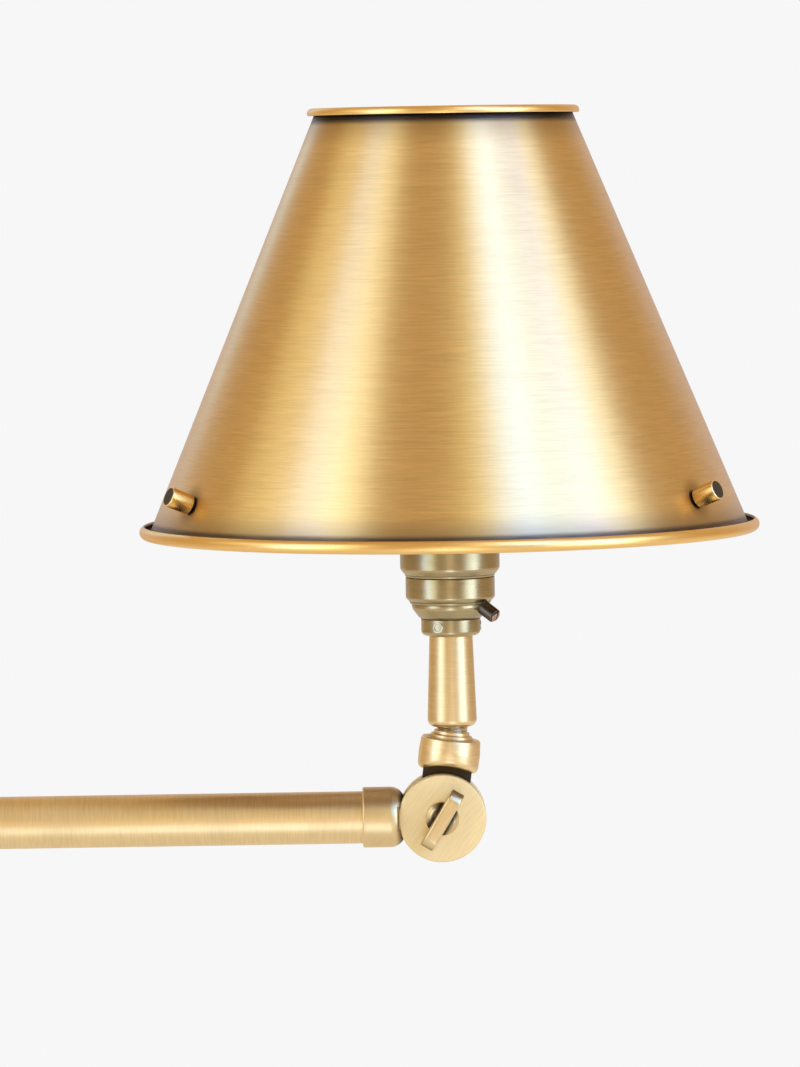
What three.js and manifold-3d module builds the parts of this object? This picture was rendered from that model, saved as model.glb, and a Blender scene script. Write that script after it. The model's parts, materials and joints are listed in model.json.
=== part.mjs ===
// Swing arm wall light: a round wall plate, two brass arms joined by fork-and-tongue knuckles,
// and a conical shade that stands on a lamp holder above the last knuckle.
// Millimetres, +Z up. The wall is the plane Y = 0 and the light stands out from it towards -Y.
// At rest the rear arm points straight out of the wall and the front arm runs along +X.

import * as THREE from 'three';
import { mergeVertices } from 'three/addons/utils/BufferGeometryUtils.js';
import Module from 'manifold-3d';

const wasm = await Module();
wasm.setup();

// ---------------------------------------------------------------- driving dimensions

const GAP = 0.3; // left between two pieces that touch
const OVERRUN = 1; // a tool runs this far past what it cuts
const ROUND = 20; // sides of a turned piece
const FINE = 40; // sides of the shade and the wall plate
const TUBE = 24; // sides of an arm
const SMALL = 8; // sides of screws and other small turned pieces
const CABLE = 12; // sides of a cable, and of other small round pieces that show

// arms
const REAR_ARM_LENGTH = 260; // wall pivot to elbow pivot
const FRONT_ARM_LENGTH = 260; // elbow pivot to head pivot
const ARM_RADIUS = 10.1;
const ARM_WALL = 1.5;
const CABLE_RADIUS = 2.4;

// knuckles, which are all alike
const CHEEK_RADIUS = 17;
const CHEEK_THICKNESS = 4.6;
const TONGUE_INSET = 0.6; // the tongue's disc is this much smaller than the cheeks
const TONGUE_THICKNESS = 5.2;
const TONGUE_SHOULDER = 2.5; // the tongue is this much narrower than the collar, on each side
const SLOT_CLEARANCE = 1.6; // round the tongue, in the slit between the cheeks
const WASHER_THICKNESS = 0.7;
const WASHER_RADIUS = 12;
const EDGE = 0.8; // eased edge of a cheek or a collar
const COLLAR_WALL = 1.6; // a collar round an arm's tube
const COLLAR_LENGTH = 10.3; // of the tongue's collar, at its hollow's deepest
const FORK_OVERLAP = 2.5; // the fork's collar runs this far in under the cheeks' edges
const FORK_SHOULDER = 5.5; // radius of the fork collar's round inner shoulder
const FORK_NECK_RADIUS = 8.4;
const SCALLOP_CLEARANCE = 3.4; // from the cheeks to the hollow end of the tongue's collar
const SOCKET_DEPTH = 8;
const FORK_CHANNEL_RADIUS = 3; // wiring channels
const TONGUE_CHANNEL_RADIUS = 1.8;
const SCREW_RADIUS = 3;

// wing screws
const WING_HUB_RADIUS = 6.5;
const WING_HUB_HEIGHT = 2.6;
const WING_SPAN = 24.8;
const WING_THICKNESS = 5.2;
const WING_HEIGHT = 10;
const WING_CORNER = 4.5;
const WING_EDGE = 0.7; // eased edge of the blade
const WING_WAIST = 0.6; // the blade's foot is this much narrower than the hub, on each side
const WING_FLARE = 2.2; // height over which the blade widens to its span
const HUB_RIM = 0.6; // straight side of the hub below its dome
const HUB_ROUND = 1.6;
const HEAD_WING_TURN = 59; // degrees from the arm's line
const ELBOW_WING_TURN = 20;
const WALL_WING_TURN = 75;

// stem between the head knuckle and the lamp holder
const STEM_OFFSET = 4.45; // the stem's axis stands this far beyond the head pivot
const KINK_RISE = 3.8; // from the collar to where the leaning axis meets the upright one
const RING_WIDTH = 2.2; // outside the nipple
const RING_THICKNESS = 1.3;
const STEP_WIDTH = 0.9;
const STEP_THICKNESS = 0.7;
const NIPPLE_RADIUS = 6;
const NIPPLE_BORE = 4;
const STEM_RISE = 4.2; // from the collar to the stem
const STEM_LENGTH = 35.1;
const STEM_BOTTOM_WALL = 3.6; // outside the nipple
const STEM_TOP_WALL = 2.3;
const STEM_ROUND = 3;

// lamp holder
const HOLDER_COLLAR_WALL = 5.4; // outside the nipple
const HOLDER_COLLAR_HEIGHT = 6.7;
const HOLDER_COLLAR_ROUND = 1.3;
const HOLDER_FLARE_HEIGHT = 5.3;
const HOLDER_FLARE_WALL = 1.1; // outside the spigot
const HOLDER_BODY_WALL = 3.2; // outside the spigot
const HOLDER_BODY_HEIGHT = 10.1;
const HOLDER_SHOULDER = 2.2;
const HOLDER_SKIRT_STEP = 2; // the skirt stands this far outside the body
const HOLDER_SKIRT_CHAMFER = 3.1;
const HOLDER_WALL = 1.8;
const SPIGOT_HEIGHT = 3.6; // thread that joins the holder's cap and body
const SPIGOT_WALL = 1.3; // outside the bayonet sleeve
const INSERT_HEIGHT = 16.5; // porcelain
const INSERT_EDGE = 0.6;
const FLANGE_WIDTH = 3.8; // outside the skirt
const FLANGE_THICKNESS = 2.5;
const SLEEVE_PLAY = 0.7; // between the bayonet sleeve and the bulb's cap
const SLEEVE_WALL = 1;
const SLEEVE_HEIGHT = 17.5;
const SLEEVE_SEAT = 4; // depth of the sleeve in the insert
const PIN_SLOT_WIDTH = 3.4;
const PLUNGER_SPREAD = 4;
const PLUNGER_RADIUS = 1.8;
const PLUNGER_DEPTH = 6;
const TERMINAL_AZIMUTH = 58; // degrees from the front, towards +X
const TERMINAL_DROP = 33; // degrees below the horizontal
const TERMINAL_RADIUS = 2.8;
const TERMINAL_LENGTH = 5.4;
const TERMINAL_ROOT = 1.5;
const TERMINAL_SINK = 1.7; // below the top of the holder's cap
const TERMINAL_EDGE = 0.3;
const TERMINAL_SCREW_RADIUS = 1;
const TERMINAL_HEAD_RADIUS = 2.1;
const TERMINAL_HEAD_HEIGHT = 1.3;
const TERMINAL_SCREW_DEPTH = 3.6;
const GRUB_AZIMUTHS = [-26, 94, 214];
const GRUB_RADIUS = 1.7;
const GRUB_HEIGHT = 3.6; // above the cap's lower edge
const DRIVER_SLOT_WIDTH = 0.6;
const DRIVER_SLOT_LENGTH = 5;
const DRIVER_SLOT_DEPTH = 0.8;

// shade
const SHADE_HEIGHT = 159.8; // rim middle to rim middle
const SHADE_BOTTOM_RADIUS = 115.6; // outside of the wall at the bottom rim
const SHADE_TOP_RADIUS = 49.5;
const SHADE_WALL = 0.9;
const BOTTOM_CURL_RADIUS = 2.45;
const TOP_CURL_RADIUS = 1.9;
const CURL_SWEEP = 230; // degrees that a rim's curl turns through
const KNOB_HEIGHT_ABOVE_RIM = 13;
const KNOB_RADIUS = 3.85;
const KNOB_LENGTH = 9.3;
const KNOB_YAW = -2.75; // degrees that the three knobs are turned from the arm's square
const CARRIER_ROD_RADIUS = 2.2;
const CARRIER_BEND = 15; // from the shade's wall to the bend in a carrier rod
const CARRIER_SEAT = 26.27; // the carrier's ring above the skirt's lower end
const CARRIER_RING_WIDTH = 5.8; // outside the skirt
const CARRIER_RING_THICKNESS = 3;
const CARRIER_FLANGE_WIDTH = 1; // the flange inside the shade is this much wider than a knob
const CARRIER_FLANGE_THICKNESS = 1.2;
const KNOB_FLOOR = 3; // left in a knob above its threaded hole
const KNOB_EDGE = 0.5;
const RING_NUT_WIDTH = 4.3; // outside the skirt
const RING_NUT_HEIGHT = 5;

// bulb
const BULB_CAP_RADIUS = 11;
const BULB_CAP_HEIGHT = 22;
const BULB_RADIUS = 30;
const BULB_HEIGHT = 88; // glass above the cap's rim
const BULB_WALL = 1;
const BULB_CAP_WALL = 0.6;
const BULB_LIFT = 3.3; // cap above the insert, held up by the contacts
const BULB_PIN_RADIUS = 0.9;
const BULB_PIN_HEIGHT = 6;
const BULB_PIN_LENGTH = 2;

// wall plate
const PLATE_RADIUS = 55;
const PLATE_DEPTH = 14;
const PLATE_WALL = 1.6;
const PLATE_ROUND = 7;
const BOSS_RADIUS = 17;
const BOSS_THICKNESS = 3.5;
const BRACKET_THICKNESS = 2;
const BRACKET_INSET = 9; // ends of the bracket's bar inside the plate's rim
const BRACKET_CROSS_INSET = 14; // ends of its cross piece inside the plate's rim
const BRACKET_BAR = 22;
const STUD_INSET = 16; // inside the plate's rim
const STUD_RADIUS = 2;
const STUD_SEAT = 0.5; // thickness left under a stud or the earth screw
const EARTH_INSET = 27; // inside the plate's rim
const EARTH_HEAD_RADIUS = 3.6;
const EARTH_HEAD_HEIGHT = 2.1;
const BLOCK_INSET = 24; // inside the plate's rim
const BLOCK_WIDTH = 20;
const BLOCK_DEPTH = 14;
const BLOCK_HEADROOM = 2; // under the plate's front
const BLOCK_WELL_SPREAD = 5;
const SLOT_INSET = 17; // from a stud to the middle of a fixing slot
const SLOT_WIDTH = 5;
const SLOT_LENGTH = 12;
const CAP_NUT_RADIUS = 5;
const CAP_NUT_RIM = 1.2; // straight side of a cap nut below its dome
const WALL_NIPPLE_RADIUS = 5;
const WALL_NIPPLE_BORE = 3.2;
const LOCK_NUT_WALL = 2.5; // outside the nipple, across flats
const LOCK_NUT_THICKNESS = 3;

// ---------------------------------------------------------------- worked-out sizes

const COLLAR_RADIUS = ARM_RADIUS + COLLAR_WALL;
const TONGUE_RADIUS = CHEEK_RADIUS - TONGUE_INSET;
const TONGUE_WIDTH = 2 * (COLLAR_RADIUS - TONGUE_SHOULDER);
const SCALLOP_RADIUS = CHEEK_RADIUS + SCALLOP_CLEARANCE; // about the pivot
const COLLAR_END = SCALLOP_RADIUS + COLLAR_LENGTH; // pivot to the outer end of a collar
const FORK_COLLAR_START = CHEEK_RADIUS - FORK_OVERLAP;
const SLIT = TONGUE_THICKNESS / 2 + 2 * GAP + WASHER_THICKNESS; // inner face of a cheek
const CHEEK_FACE = SLIT + CHEEK_THICKNESS; // outer face of a cheek
const SLOT_RADIUS = TONGUE_RADIUS + SLOT_CLEARANCE;
const WALL_PIVOT = PLATE_DEPTH + GAP + BOSS_THICKNESS + COLLAR_END; // wall to wall pivot
const KINK_HEIGHT = COLLAR_END + KINK_RISE;
const LEAN = Math.atan2(STEM_OFFSET, KINK_HEIGHT);
const RING_RADIUS = NIPPLE_RADIUS + RING_WIDTH;
const STEP_RADIUS = NIPPLE_RADIUS + STEP_WIDTH;
const STEM_BOTTOM = COLLAR_END + STEM_RISE;
const STEM_TOP = STEM_BOTTOM + STEM_LENGTH;
const STEM_BOTTOM_RADIUS = NIPPLE_RADIUS + STEM_BOTTOM_WALL;
const STEM_TOP_RADIUS = NIPPLE_RADIUS + STEM_TOP_WALL;
const SLEEVE_RADIUS = BULB_CAP_RADIUS + SLEEVE_PLAY + SLEEVE_WALL;
const SPIGOT_RADIUS = SLEEVE_RADIUS + SPIGOT_WALL;
const HOLDER_COLLAR_RADIUS = NIPPLE_RADIUS + HOLDER_COLLAR_WALL;
const HOLDER_FLARE_RADIUS = SPIGOT_RADIUS + HOLDER_FLARE_WALL;
const HOLDER_BODY_RADIUS = SPIGOT_RADIUS + HOLDER_BODY_WALL;
const HOLDER_SKIRT_RADIUS = HOLDER_BODY_RADIUS + HOLDER_SKIRT_STEP;
const FLANGE_RADIUS = HOLDER_SKIRT_RADIUS + FLANGE_WIDTH;
const CARRIER_RING_RADIUS = HOLDER_SKIRT_RADIUS + CARRIER_RING_WIDTH;
const RING_NUT_RADIUS = HOLDER_SKIRT_RADIUS + RING_NUT_WIDTH;
const CAP_BOTTOM = STEM_TOP + GAP;
const CAP_TOP = CAP_BOTTOM + HOLDER_COLLAR_HEIGHT + HOLDER_FLARE_HEIGHT;
const BODY_BOTTOM = CAP_TOP + GAP;
const SKIRT_BOTTOM = BODY_BOTTOM + HOLDER_BODY_HEIGHT + GAP;
const INSERT_BOTTOM = CAP_TOP + SPIGOT_HEIGHT + GAP;
const INSERT_TOP = INSERT_BOTTOM + INSERT_HEIGHT;
const SHADE_SLOPE = Math.atan2(SHADE_BOTTOM_RADIUS - SHADE_TOP_RADIUS, SHADE_HEIGHT);
const CARRIER_Z = SKIRT_BOTTOM + CARRIER_SEAT;
const CARRIER_TOP = CARRIER_Z + CARRIER_RING_THICKNESS / 2;
const SKIRT_TOP = CARRIER_TOP + GAP + RING_NUT_HEIGHT;
const KNOB_Z = CARRIER_Z + CARRIER_BEND * Math.sin(SHADE_SLOPE);
const KNOB_R = SHADE_BOTTOM_RADIUS - KNOB_HEIGHT_ABOVE_RIM * Math.tan(SHADE_SLOPE);
const SHADE_LIFT = KNOB_Z - KNOB_HEIGHT_ABOVE_RIM; // head pivot to the middle of the bottom rim
const FACET_SAG = KNOB_R * (1 - Math.cos(Math.PI / FINE)); // a flat side lies this far inside
const BULB_BOTTOM = INSERT_TOP + BULB_LIFT;
const KNOB_AZIMUTHS = [-60, 60, 180].map((azimuth) => azimuth + KNOB_YAW);
const STUD_SPREAD = PLATE_RADIUS - STUD_INSET;
const SLOT_SPREAD = STUD_SPREAD - SLOT_INSET;
const EARTH_SPOT = PLATE_RADIUS - EARTH_INSET;
const BLOCK_SPOT = BLOCK_INSET - PLATE_RADIUS;
const PLATE_BACK = PLATE_DEPTH - PLATE_WALL; // back of the plate's front

// ---------------------------------------------------------------- materials

function metal(color, roughness) {
  return new THREE.MeshStandardMaterial({ color, roughness, metalness: 1 });
}

const shadeBrass = metal(0xc99a4a, 0.38);
const armBrass = metal(0xcfae70, 0.34);
const holderBrass = metal(0xb0a078, 0.4);
const nickel = metal(0xb9b7b2, 0.3);
const steel = metal(0x77787a, 0.45);
const darkSteel = metal(0x4b4741, 0.5);
const copper = metal(0xb98a72, 0.4);
const porcelain = new THREE.MeshStandardMaterial({ color: 0xece8df, roughness: 0.35 });
const plastic = new THREE.MeshStandardMaterial({ color: 0xdad7cc, roughness: 0.5 });
const cableJacket = new THREE.MeshStandardMaterial({ color: 0x2c2a28, roughness: 0.6 });
const opalGlass = new THREE.MeshStandardMaterial({ color: 0xf3f1ea, roughness: 0.25 });

// ---------------------------------------------------------------- geometry helpers

const radians = THREE.MathUtils.degToRad;

function point(radius, height) {
  return new THREE.Vector2(radius, height);
}

// Points of an arc, both ends included; angles in degrees from the radius direction.
function arc(radius, height, size, from, to, steps) {
  const points = [];
  for (let i = 0; i <= steps; i += 1) {
    const angle = radians(from + ((to - from) * i) / steps);
    points.push(point(radius + size * Math.cos(angle), height + size * Math.sin(angle)));
  }
  return points;
}

// A geometry with shared vertices, and without the empty triangles of poles.
function welded(geometry) {
  const bare = new THREE.BufferGeometry();
  bare.setAttribute('position', geometry.getAttribute('position'));
  bare.setIndex(geometry.getIndex());
  const merged = mergeVertices(bare, 1e-4);
  const index = merged.getIndex().array;
  const kept = [];
  for (let i = 0; i < index.length; i += 3) {
    const [a, b, c] = [index[i], index[i + 1], index[i + 2]];
    if (a !== b && b !== c && c !== a) kept.push(a, b, c);
  }
  merged.setIndex(kept);
  return merged;
}

// A profile of (radius, height) points turned about +Z. It runs anticlockwise and starts and
// ends on the axis, or closes on itself.
function turned(points, sides = ROUND) {
  const closed = points[0].x > 0;
  const profile = closed ? [...points, points[0].clone()] : points;
  const geometry = new THREE.LatheGeometry(profile, sides);
  geometry.rotateX(Math.PI / 2);
  return welded(geometry);
}

// The side of a round piece, with its two edges eased.
function side(radius, low, high, ease) {
  if (ease === 0) return [point(radius, low), point(radius, high)];
  return [
    point(radius - ease, low),
    point(radius, low + ease),
    point(radius, high - ease),
    point(radius - ease, high),
  ];
}

// A solid round bar along +Z.
function bar(radius, low, high, sides = ROUND, ease = 0) {
  return turned([point(0, low), ...side(radius, low, high, ease), point(0, high)], sides);
}

// A round bar that only cuts: it runs past both ends of what it cuts.
function bore(radius, low, high, sides = ROUND) {
  return bar(radius, low - OVERRUN, high + OVERRUN, sides);
}

// A plain ring along +Z.
function ring(inner, outer, low, high, sides = ROUND, ease = 0) {
  return turned([point(inner, low), ...side(outer, low, high, ease), point(inner, high)], sides);
}

// A flat outline in X and Y, raised from one height to another.
function raised(shape, low, high, curveSegments = 8) {
  const depth = high - low;
  const geometry = new THREE.ExtrudeGeometry(shape, { depth, bevelEnabled: false, curveSegments });
  geometry.translate(0, 0, low);
  return welded(geometry);
}

function rectangle(width, height, x = 0, y = 0) {
  const shape = new THREE.Shape();
  shape.moveTo(x - width / 2, y - height / 2);
  shape.lineTo(x + width / 2, y - height / 2);
  shape.lineTo(x + width / 2, y + height / 2);
  shape.lineTo(x - width / 2, y + height / 2);
  shape.closePath();
  return shape;
}

function solid(geometry) {
  const mesh = welded(geometry);
  const vertProperties = new Float32Array(mesh.getAttribute('position').array);
  const triVerts = new Uint32Array(mesh.getIndex().array);
  return new wasm.Manifold(new wasm.Mesh({ numProp: 3, vertProperties, triVerts }));
}

function surface(manifold) {
  const mesh = manifold.getMesh();
  const geometry = new THREE.BufferGeometry();
  geometry.setAttribute('position', new THREE.BufferAttribute(mesh.vertProperties, 3));
  geometry.setIndex(new THREE.BufferAttribute(mesh.triVerts, 1));
  return geometry;
}

function join(...geometries) {
  return surface(geometries.map(solid).reduce((whole, piece) => whole.add(piece)));
}

function cut(geometry, ...tools) {
  return surface(tools.map(solid).reduce((whole, tool) => whole.subtract(tool), solid(geometry)));
}

// Turn a geometry made along +Z so that it points along +X.
function alongX(geometry) {
  return geometry.rotateY(Math.PI / 2);
}

// Turn a geometry made along +Z so that it points along -X.
function againstX(geometry) {
  return geometry.rotateY(-Math.PI / 2);
}

function add(group, name, geometry, material) {
  const mesh = new THREE.Mesh(geometry, material);
  mesh.name = name;
  group.add(mesh);
  return mesh;
}

function groupAt(parent, x, y, z) {
  const group = new THREE.Group();
  group.position.set(x, y, z);
  parent.add(group);
  return group;
}

// ---------------------------------------------------------------- knuckle pieces
// Every knuckle piece is made about a pivot along +Z, with the fork's collar towards -X and the
// tongue's collar towards +X.

function forkGeometry(socketRadius) {
  const shoulder = arc(
    COLLAR_RADIUS - FORK_SHOULDER, FORK_COLLAR_START + FORK_SHOULDER, FORK_SHOULDER, -90, 0, 3,
  );
  const collar = againstX(turned([
    point(0, FORK_COLLAR_START),
    ...shoulder,
    point(COLLAR_RADIUS, COLLAR_END - EDGE / 2),
    point(COLLAR_RADIUS - EDGE / 2, COLLAR_END),
    point(0, COLLAR_END),
  ]));
  const socketFloor = COLLAR_END - SOCKET_DEPTH;
  const neck = againstX(bar(FORK_NECK_RADIUS, CHEEK_RADIUS / 2 + SCREW_RADIUS, socketFloor));
  const cheeks = bar(CHEEK_RADIUS, -CHEEK_FACE, CHEEK_FACE, ROUND, EDGE);
  const slit = bar(SLOT_RADIUS, -SLIT, SLIT);
  const screwHole = bore(SCREW_RADIUS + GAP, -CHEEK_FACE, CHEEK_FACE, SMALL);
  const socket = againstX(bar(socketRadius + GAP, socketFloor, COLLAR_END + OVERRUN));
  const channel = againstX(bore(FORK_CHANNEL_RADIUS, SLOT_RADIUS, COLLAR_END, SMALL));
  return cut(join(collar, neck, cheeks), slit, screwHole, socket, channel);
}

function tongueGeometry(socketRadius) {
  const collar = alongX(turned([
    point(0, SCALLOP_RADIUS / 2),
    point(COLLAR_RADIUS, SCALLOP_RADIUS / 2),
    point(COLLAR_RADIUS, COLLAR_END - EDGE / 2),
    point(COLLAR_RADIUS - EDGE / 2, COLLAR_END),
    point(0, COLLAR_END),
  ]));
  const scallop = bore(SCALLOP_RADIUS, -COLLAR_RADIUS, COLLAR_RADIUS, FINE);
  const half = TONGUE_THICKNESS / 2;
  const disc = bar(TONGUE_RADIUS, -half, half);
  const reach = SCALLOP_RADIUS + OVERRUN;
  const neck = raised(rectangle(reach, TONGUE_WIDTH, reach / 2, 0), -half, half);
  const screwHole = bore(SCREW_RADIUS + GAP, -half, half, SMALL);
  const socket = alongX(bar(socketRadius + GAP, COLLAR_END - SOCKET_DEPTH, COLLAR_END + OVERRUN));
  const channel = alongX(bar(TONGUE_CHANNEL_RADIUS, 0, COLLAR_END, SMALL));
  return cut(join(cut(collar, scallop), disc, neck), screwHole, socket, channel);
}

function wingScrewGeometry() {
  const seat = CHEEK_FACE + GAP;
  const hub = turned([
    point(0, seat),
    point(WING_HUB_RADIUS, seat),
    point(WING_HUB_RADIUS, seat + HUB_RIM),
    ...arc(WING_HUB_RADIUS - HUB_ROUND, seat + HUB_RIM, HUB_ROUND, 20, 75, 3),
    point(0, seat + WING_HUB_HEIGHT),
  ]);
  const shank = bar(SCREW_RADIUS, -CHEEK_FACE + GAP, seat + HUB_RIM, SMALL);
  const blade = new THREE.Shape();
  const half = WING_SPAN / 2;
  const foot = WING_HUB_RADIUS - WING_WAIST;
  const low = seat + HUB_RIM;
  const high = seat + WING_HEIGHT;
  blade.moveTo(-foot, low);
  blade.lineTo(foot, low);
  blade.lineTo(half, low + WING_FLARE);
  blade.absarc(half - WING_CORNER, high - WING_CORNER, WING_CORNER, 0, Math.PI / 2);
  blade.absarc(-half + WING_CORNER, high - WING_CORNER, WING_CORNER, Math.PI / 2, Math.PI);
  blade.lineTo(-half, low + WING_FLARE);
  blade.closePath();
  const depth = WING_THICKNESS - 2 * WING_EDGE;
  const wing = new THREE.ExtrudeGeometry(blade, {
    depth,
    bevelThickness: WING_EDGE,
    bevelSize: WING_EDGE,
    bevelOffset: -WING_EDGE,
    bevelSegments: 1,
    curveSegments: 3,
  });
  wing.translate(0, 0, -depth / 2);
  wing.rotateX(Math.PI / 2);
  return join(hub, shank, welded(wing));
}

// A washer beside the tongue: above it for a face of 1, below it for a face of -1.
function washerGeometry(face) {
  const middle = face * (TONGUE_THICKNESS / 2 + GAP + WASHER_THICKNESS / 2);
  const half = WASHER_THICKNESS / 2;
  return ring(SCREW_RADIUS + GAP, WASHER_RADIUS, middle - half, middle + half);
}

// ---------------------------------------------------------------- wall plate

// A dished disc: a flat front, a rounded edge and an open back.
function plateShell() {
  const corner = PLATE_RADIUS - PLATE_ROUND;
  const height = PLATE_DEPTH - PLATE_ROUND;
  const inner = arc(corner, height, PLATE_ROUND - PLATE_WALL, 90, 0, 3);
  return turned([
    point(PLATE_RADIUS - PLATE_WALL, 0),
    point(PLATE_RADIUS, 0),
    ...arc(corner, height, PLATE_ROUND, 0, 90, 3),
    point(0, PLATE_DEPTH),
    point(0, PLATE_BACK),
    ...inner,
  ], FINE);
}

function atStuds(geometry) {
  return [-STUD_SPREAD, STUD_SPREAD].map((x) => geometry.clone().translate(x, 0, 0));
}

function addBracket(plate) {
  const span = 2 * (PLATE_RADIUS - BRACKET_INSET);
  const crossSpan = 2 * (PLATE_RADIUS - BRACKET_CROSS_INSET);
  const cross = join(
    raised(rectangle(span, BRACKET_BAR), 0, BRACKET_THICKNESS),
    raised(rectangle(BRACKET_BAR, crossSpan), 0, BRACKET_THICKNESS),
  );
  const slots = [-SLOT_SPREAD, SLOT_SPREAD].map(
    (x) => raised(rectangle(SLOT_LENGTH, SLOT_WIDTH, x, 0), -OVERRUN, BRACKET_THICKNESS + OVERRUN),
  );
  const hole = bar(STUD_RADIUS + GAP, STUD_SEAT, BRACKET_THICKNESS + OVERRUN, SMALL);
  const earthHole = hole.clone().translate(0, EARTH_SPOT, 0);
  add(plate, 'wall_bracket', cut(cross, ...slots, ...atStuds(hole), earthHole), steel);

  const headLow = BRACKET_THICKNESS + GAP;
  const headHigh = headLow + EARTH_HEAD_HEIGHT;
  const earthScrew = join(
    bar(STUD_RADIUS - GAP, STUD_SEAT + GAP, headLow + OVERRUN, SMALL),
    bar(EARTH_HEAD_RADIUS, headLow, headHigh, SMALL, TERMINAL_EDGE),
  );
  const slot = raised(
    rectangle(3 * EARTH_HEAD_RADIUS, DRIVER_SLOT_WIDTH), headHigh - DRIVER_SLOT_DEPTH, headHigh + OVERRUN,
  );
  add(plate, 'bracket_earth_screw', cut(earthScrew, slot), steel).position.set(0, EARTH_SPOT, 0);

  const blockLow = BRACKET_THICKNESS + GAP;
  const blockHigh = PLATE_BACK - BLOCK_HEADROOM;
  const block = raised(rectangle(BLOCK_WIDTH, BLOCK_DEPTH, 0, BLOCK_SPOT), blockLow, blockHigh);
  const wells = [-BLOCK_WELL_SPREAD, BLOCK_WELL_SPREAD].map(
    (x) => bar(STUD_RADIUS, blockLow + OVERRUN, blockHigh + OVERRUN, CABLE).translate(x, BLOCK_SPOT, 0),
  );
  add(plate, 'terminal_block', cut(block, ...wells), plastic);
}

function addStuds(plate) {
  const studEnd = PLATE_DEPTH + CAP_NUT_RADIUS;
  const seat = PLATE_DEPTH + GAP;
  const domeRadius = CAP_NUT_RADIUS - 2 * GAP;
  const domeHeight = seat + CAP_NUT_RIM + domeRadius / 2;
  const nut = turned([
    point(0, seat),
    point(CAP_NUT_RADIUS, seat),
    point(CAP_NUT_RADIUS, seat + CAP_NUT_RIM),
    ...arc(0, domeHeight, domeRadius, -20, 60, 3),
    point(0, domeHeight + domeRadius),
  ], 16);
  const nutBore = bar(STUD_RADIUS + GAP, PLATE_DEPTH, studEnd + GAP, SMALL);
  for (const [hand, x] of [['left', -STUD_SPREAD], ['right', STUD_SPREAD]]) {
    const stud = bar(STUD_RADIUS, STUD_SEAT + GAP, studEnd, SMALL);
    add(plate, `bracket_stud_${hand}`, stud, steel).position.set(x, 0, 0);
    add(plate, `cap_nut_${hand}`, cut(nut, nutBore), armBrass).position.set(x, 0, 0);
  }
}

function addWallNipple(plate) {
  const bossLow = PLATE_DEPTH + GAP;
  const bossHigh = bossLow + BOSS_THICKNESS;
  const boss = ring(WALL_NIPPLE_RADIUS + GAP, BOSS_RADIUS, bossLow, bossHigh, ROUND, EDGE);
  add(plate, 'boss_washer', boss, armBrass);

  const nutHigh = PLATE_BACK - GAP;
  const nutLow = nutHigh - LOCK_NUT_THICKNESS;
  const nippleLow = nutLow - GAP - OVERRUN;
  const nippleHigh = bossHigh + SOCKET_DEPTH - 2 * GAP;
  const nipple = ring(WALL_NIPPLE_BORE, WALL_NIPPLE_RADIUS, nippleLow, nippleHigh);
  add(plate, 'wall_nipple', nipple, nickel);

  // a cylinder with six sides, its radius taken to the corners
  const corner = (2 * (WALL_NIPPLE_RADIUS + LOCK_NUT_WALL)) / Math.sqrt(3);
  const hexagon = bar(corner, nutLow, nutHigh, 6);
  const hexagonBore = bore(WALL_NIPPLE_RADIUS + GAP, nutLow, nutHigh);
  add(plate, 'wall_lock_nut', cut(hexagon, hexagonBore), steel);

  const cableEnd = WALL_PIVOT - SLOT_RADIUS - OVERRUN;
  add(plate, 'wall_cable', bar(CABLE_RADIUS, 2 * BRACKET_THICKNESS, cableEnd, CABLE), cableJacket);
}

function addWallPlate(parent) {
  // made lying on its back, with the room side up, then stood against the wall
  const plate = groupAt(parent, 0, 0, 0);
  plate.rotation.x = Math.PI / 2;
  const studHole = bore(STUD_RADIUS + GAP, PLATE_BACK, PLATE_DEPTH, SMALL);
  const nippleHole = bore(WALL_NIPPLE_RADIUS + GAP, PLATE_BACK, PLATE_DEPTH);
  add(plate, 'backplate', cut(plateShell(), nippleHole, ...atStuds(studHole)), armBrass);
  addBracket(plate);
  addStuds(plate);
  addWallNipple(plate);
}

// ---------------------------------------------------------------- arms

// An arm from one pivot to the next: a tongue at its wall end, a fork at its outer end, the tube
// between them and the cable inside. It is made along +X from the pivot at its wall end.
function addArm(group, prefix, length, names) {
  add(group, names.tongue, tongueGeometry(ARM_RADIUS), armBrass);
  add(group, `${names.tongue}_washer_top`, washerGeometry(1), nickel);
  add(group, `${names.tongue}_washer_bottom`, washerGeometry(-1), nickel);
  const start = COLLAR_END - SOCKET_DEPTH + GAP;
  const end = length - start;
  const tube = alongX(ring(ARM_RADIUS - ARM_WALL, ARM_RADIUS, start, end, TUBE));
  add(group, `${prefix}_arm_tube`, tube, armBrass);
  const cable = alongX(bar(CABLE_RADIUS, start + OVERRUN, end - OVERRUN, CABLE));
  add(group, `${prefix}_arm_cable`, cable, cableJacket);
  return add(group, names.fork, forkGeometry(ARM_RADIUS), armBrass);
}

// ---------------------------------------------------------------- stem and lamp holder
// These stand on the upright stem axis, with heights above the head pivot.

// A round bar that follows the leaning knuckle axis up to the kink and then the upright stem axis.
function crankedBar(radius, low, high, sides) {
  const leaning = bar(radius, low, Math.hypot(STEM_OFFSET, KINK_HEIGHT), sides);
  leaning.rotateY(LEAN);
  leaning.translate(-STEM_OFFSET, 0, 0);
  const upright = bar(radius, KINK_HEIGHT, high, sides);
  const elbow = welded(new THREE.SphereGeometry(radius, sides, 4));
  elbow.translate(0, 0, KINK_HEIGHT);
  return join(leaning, upright, elbow);
}

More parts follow.
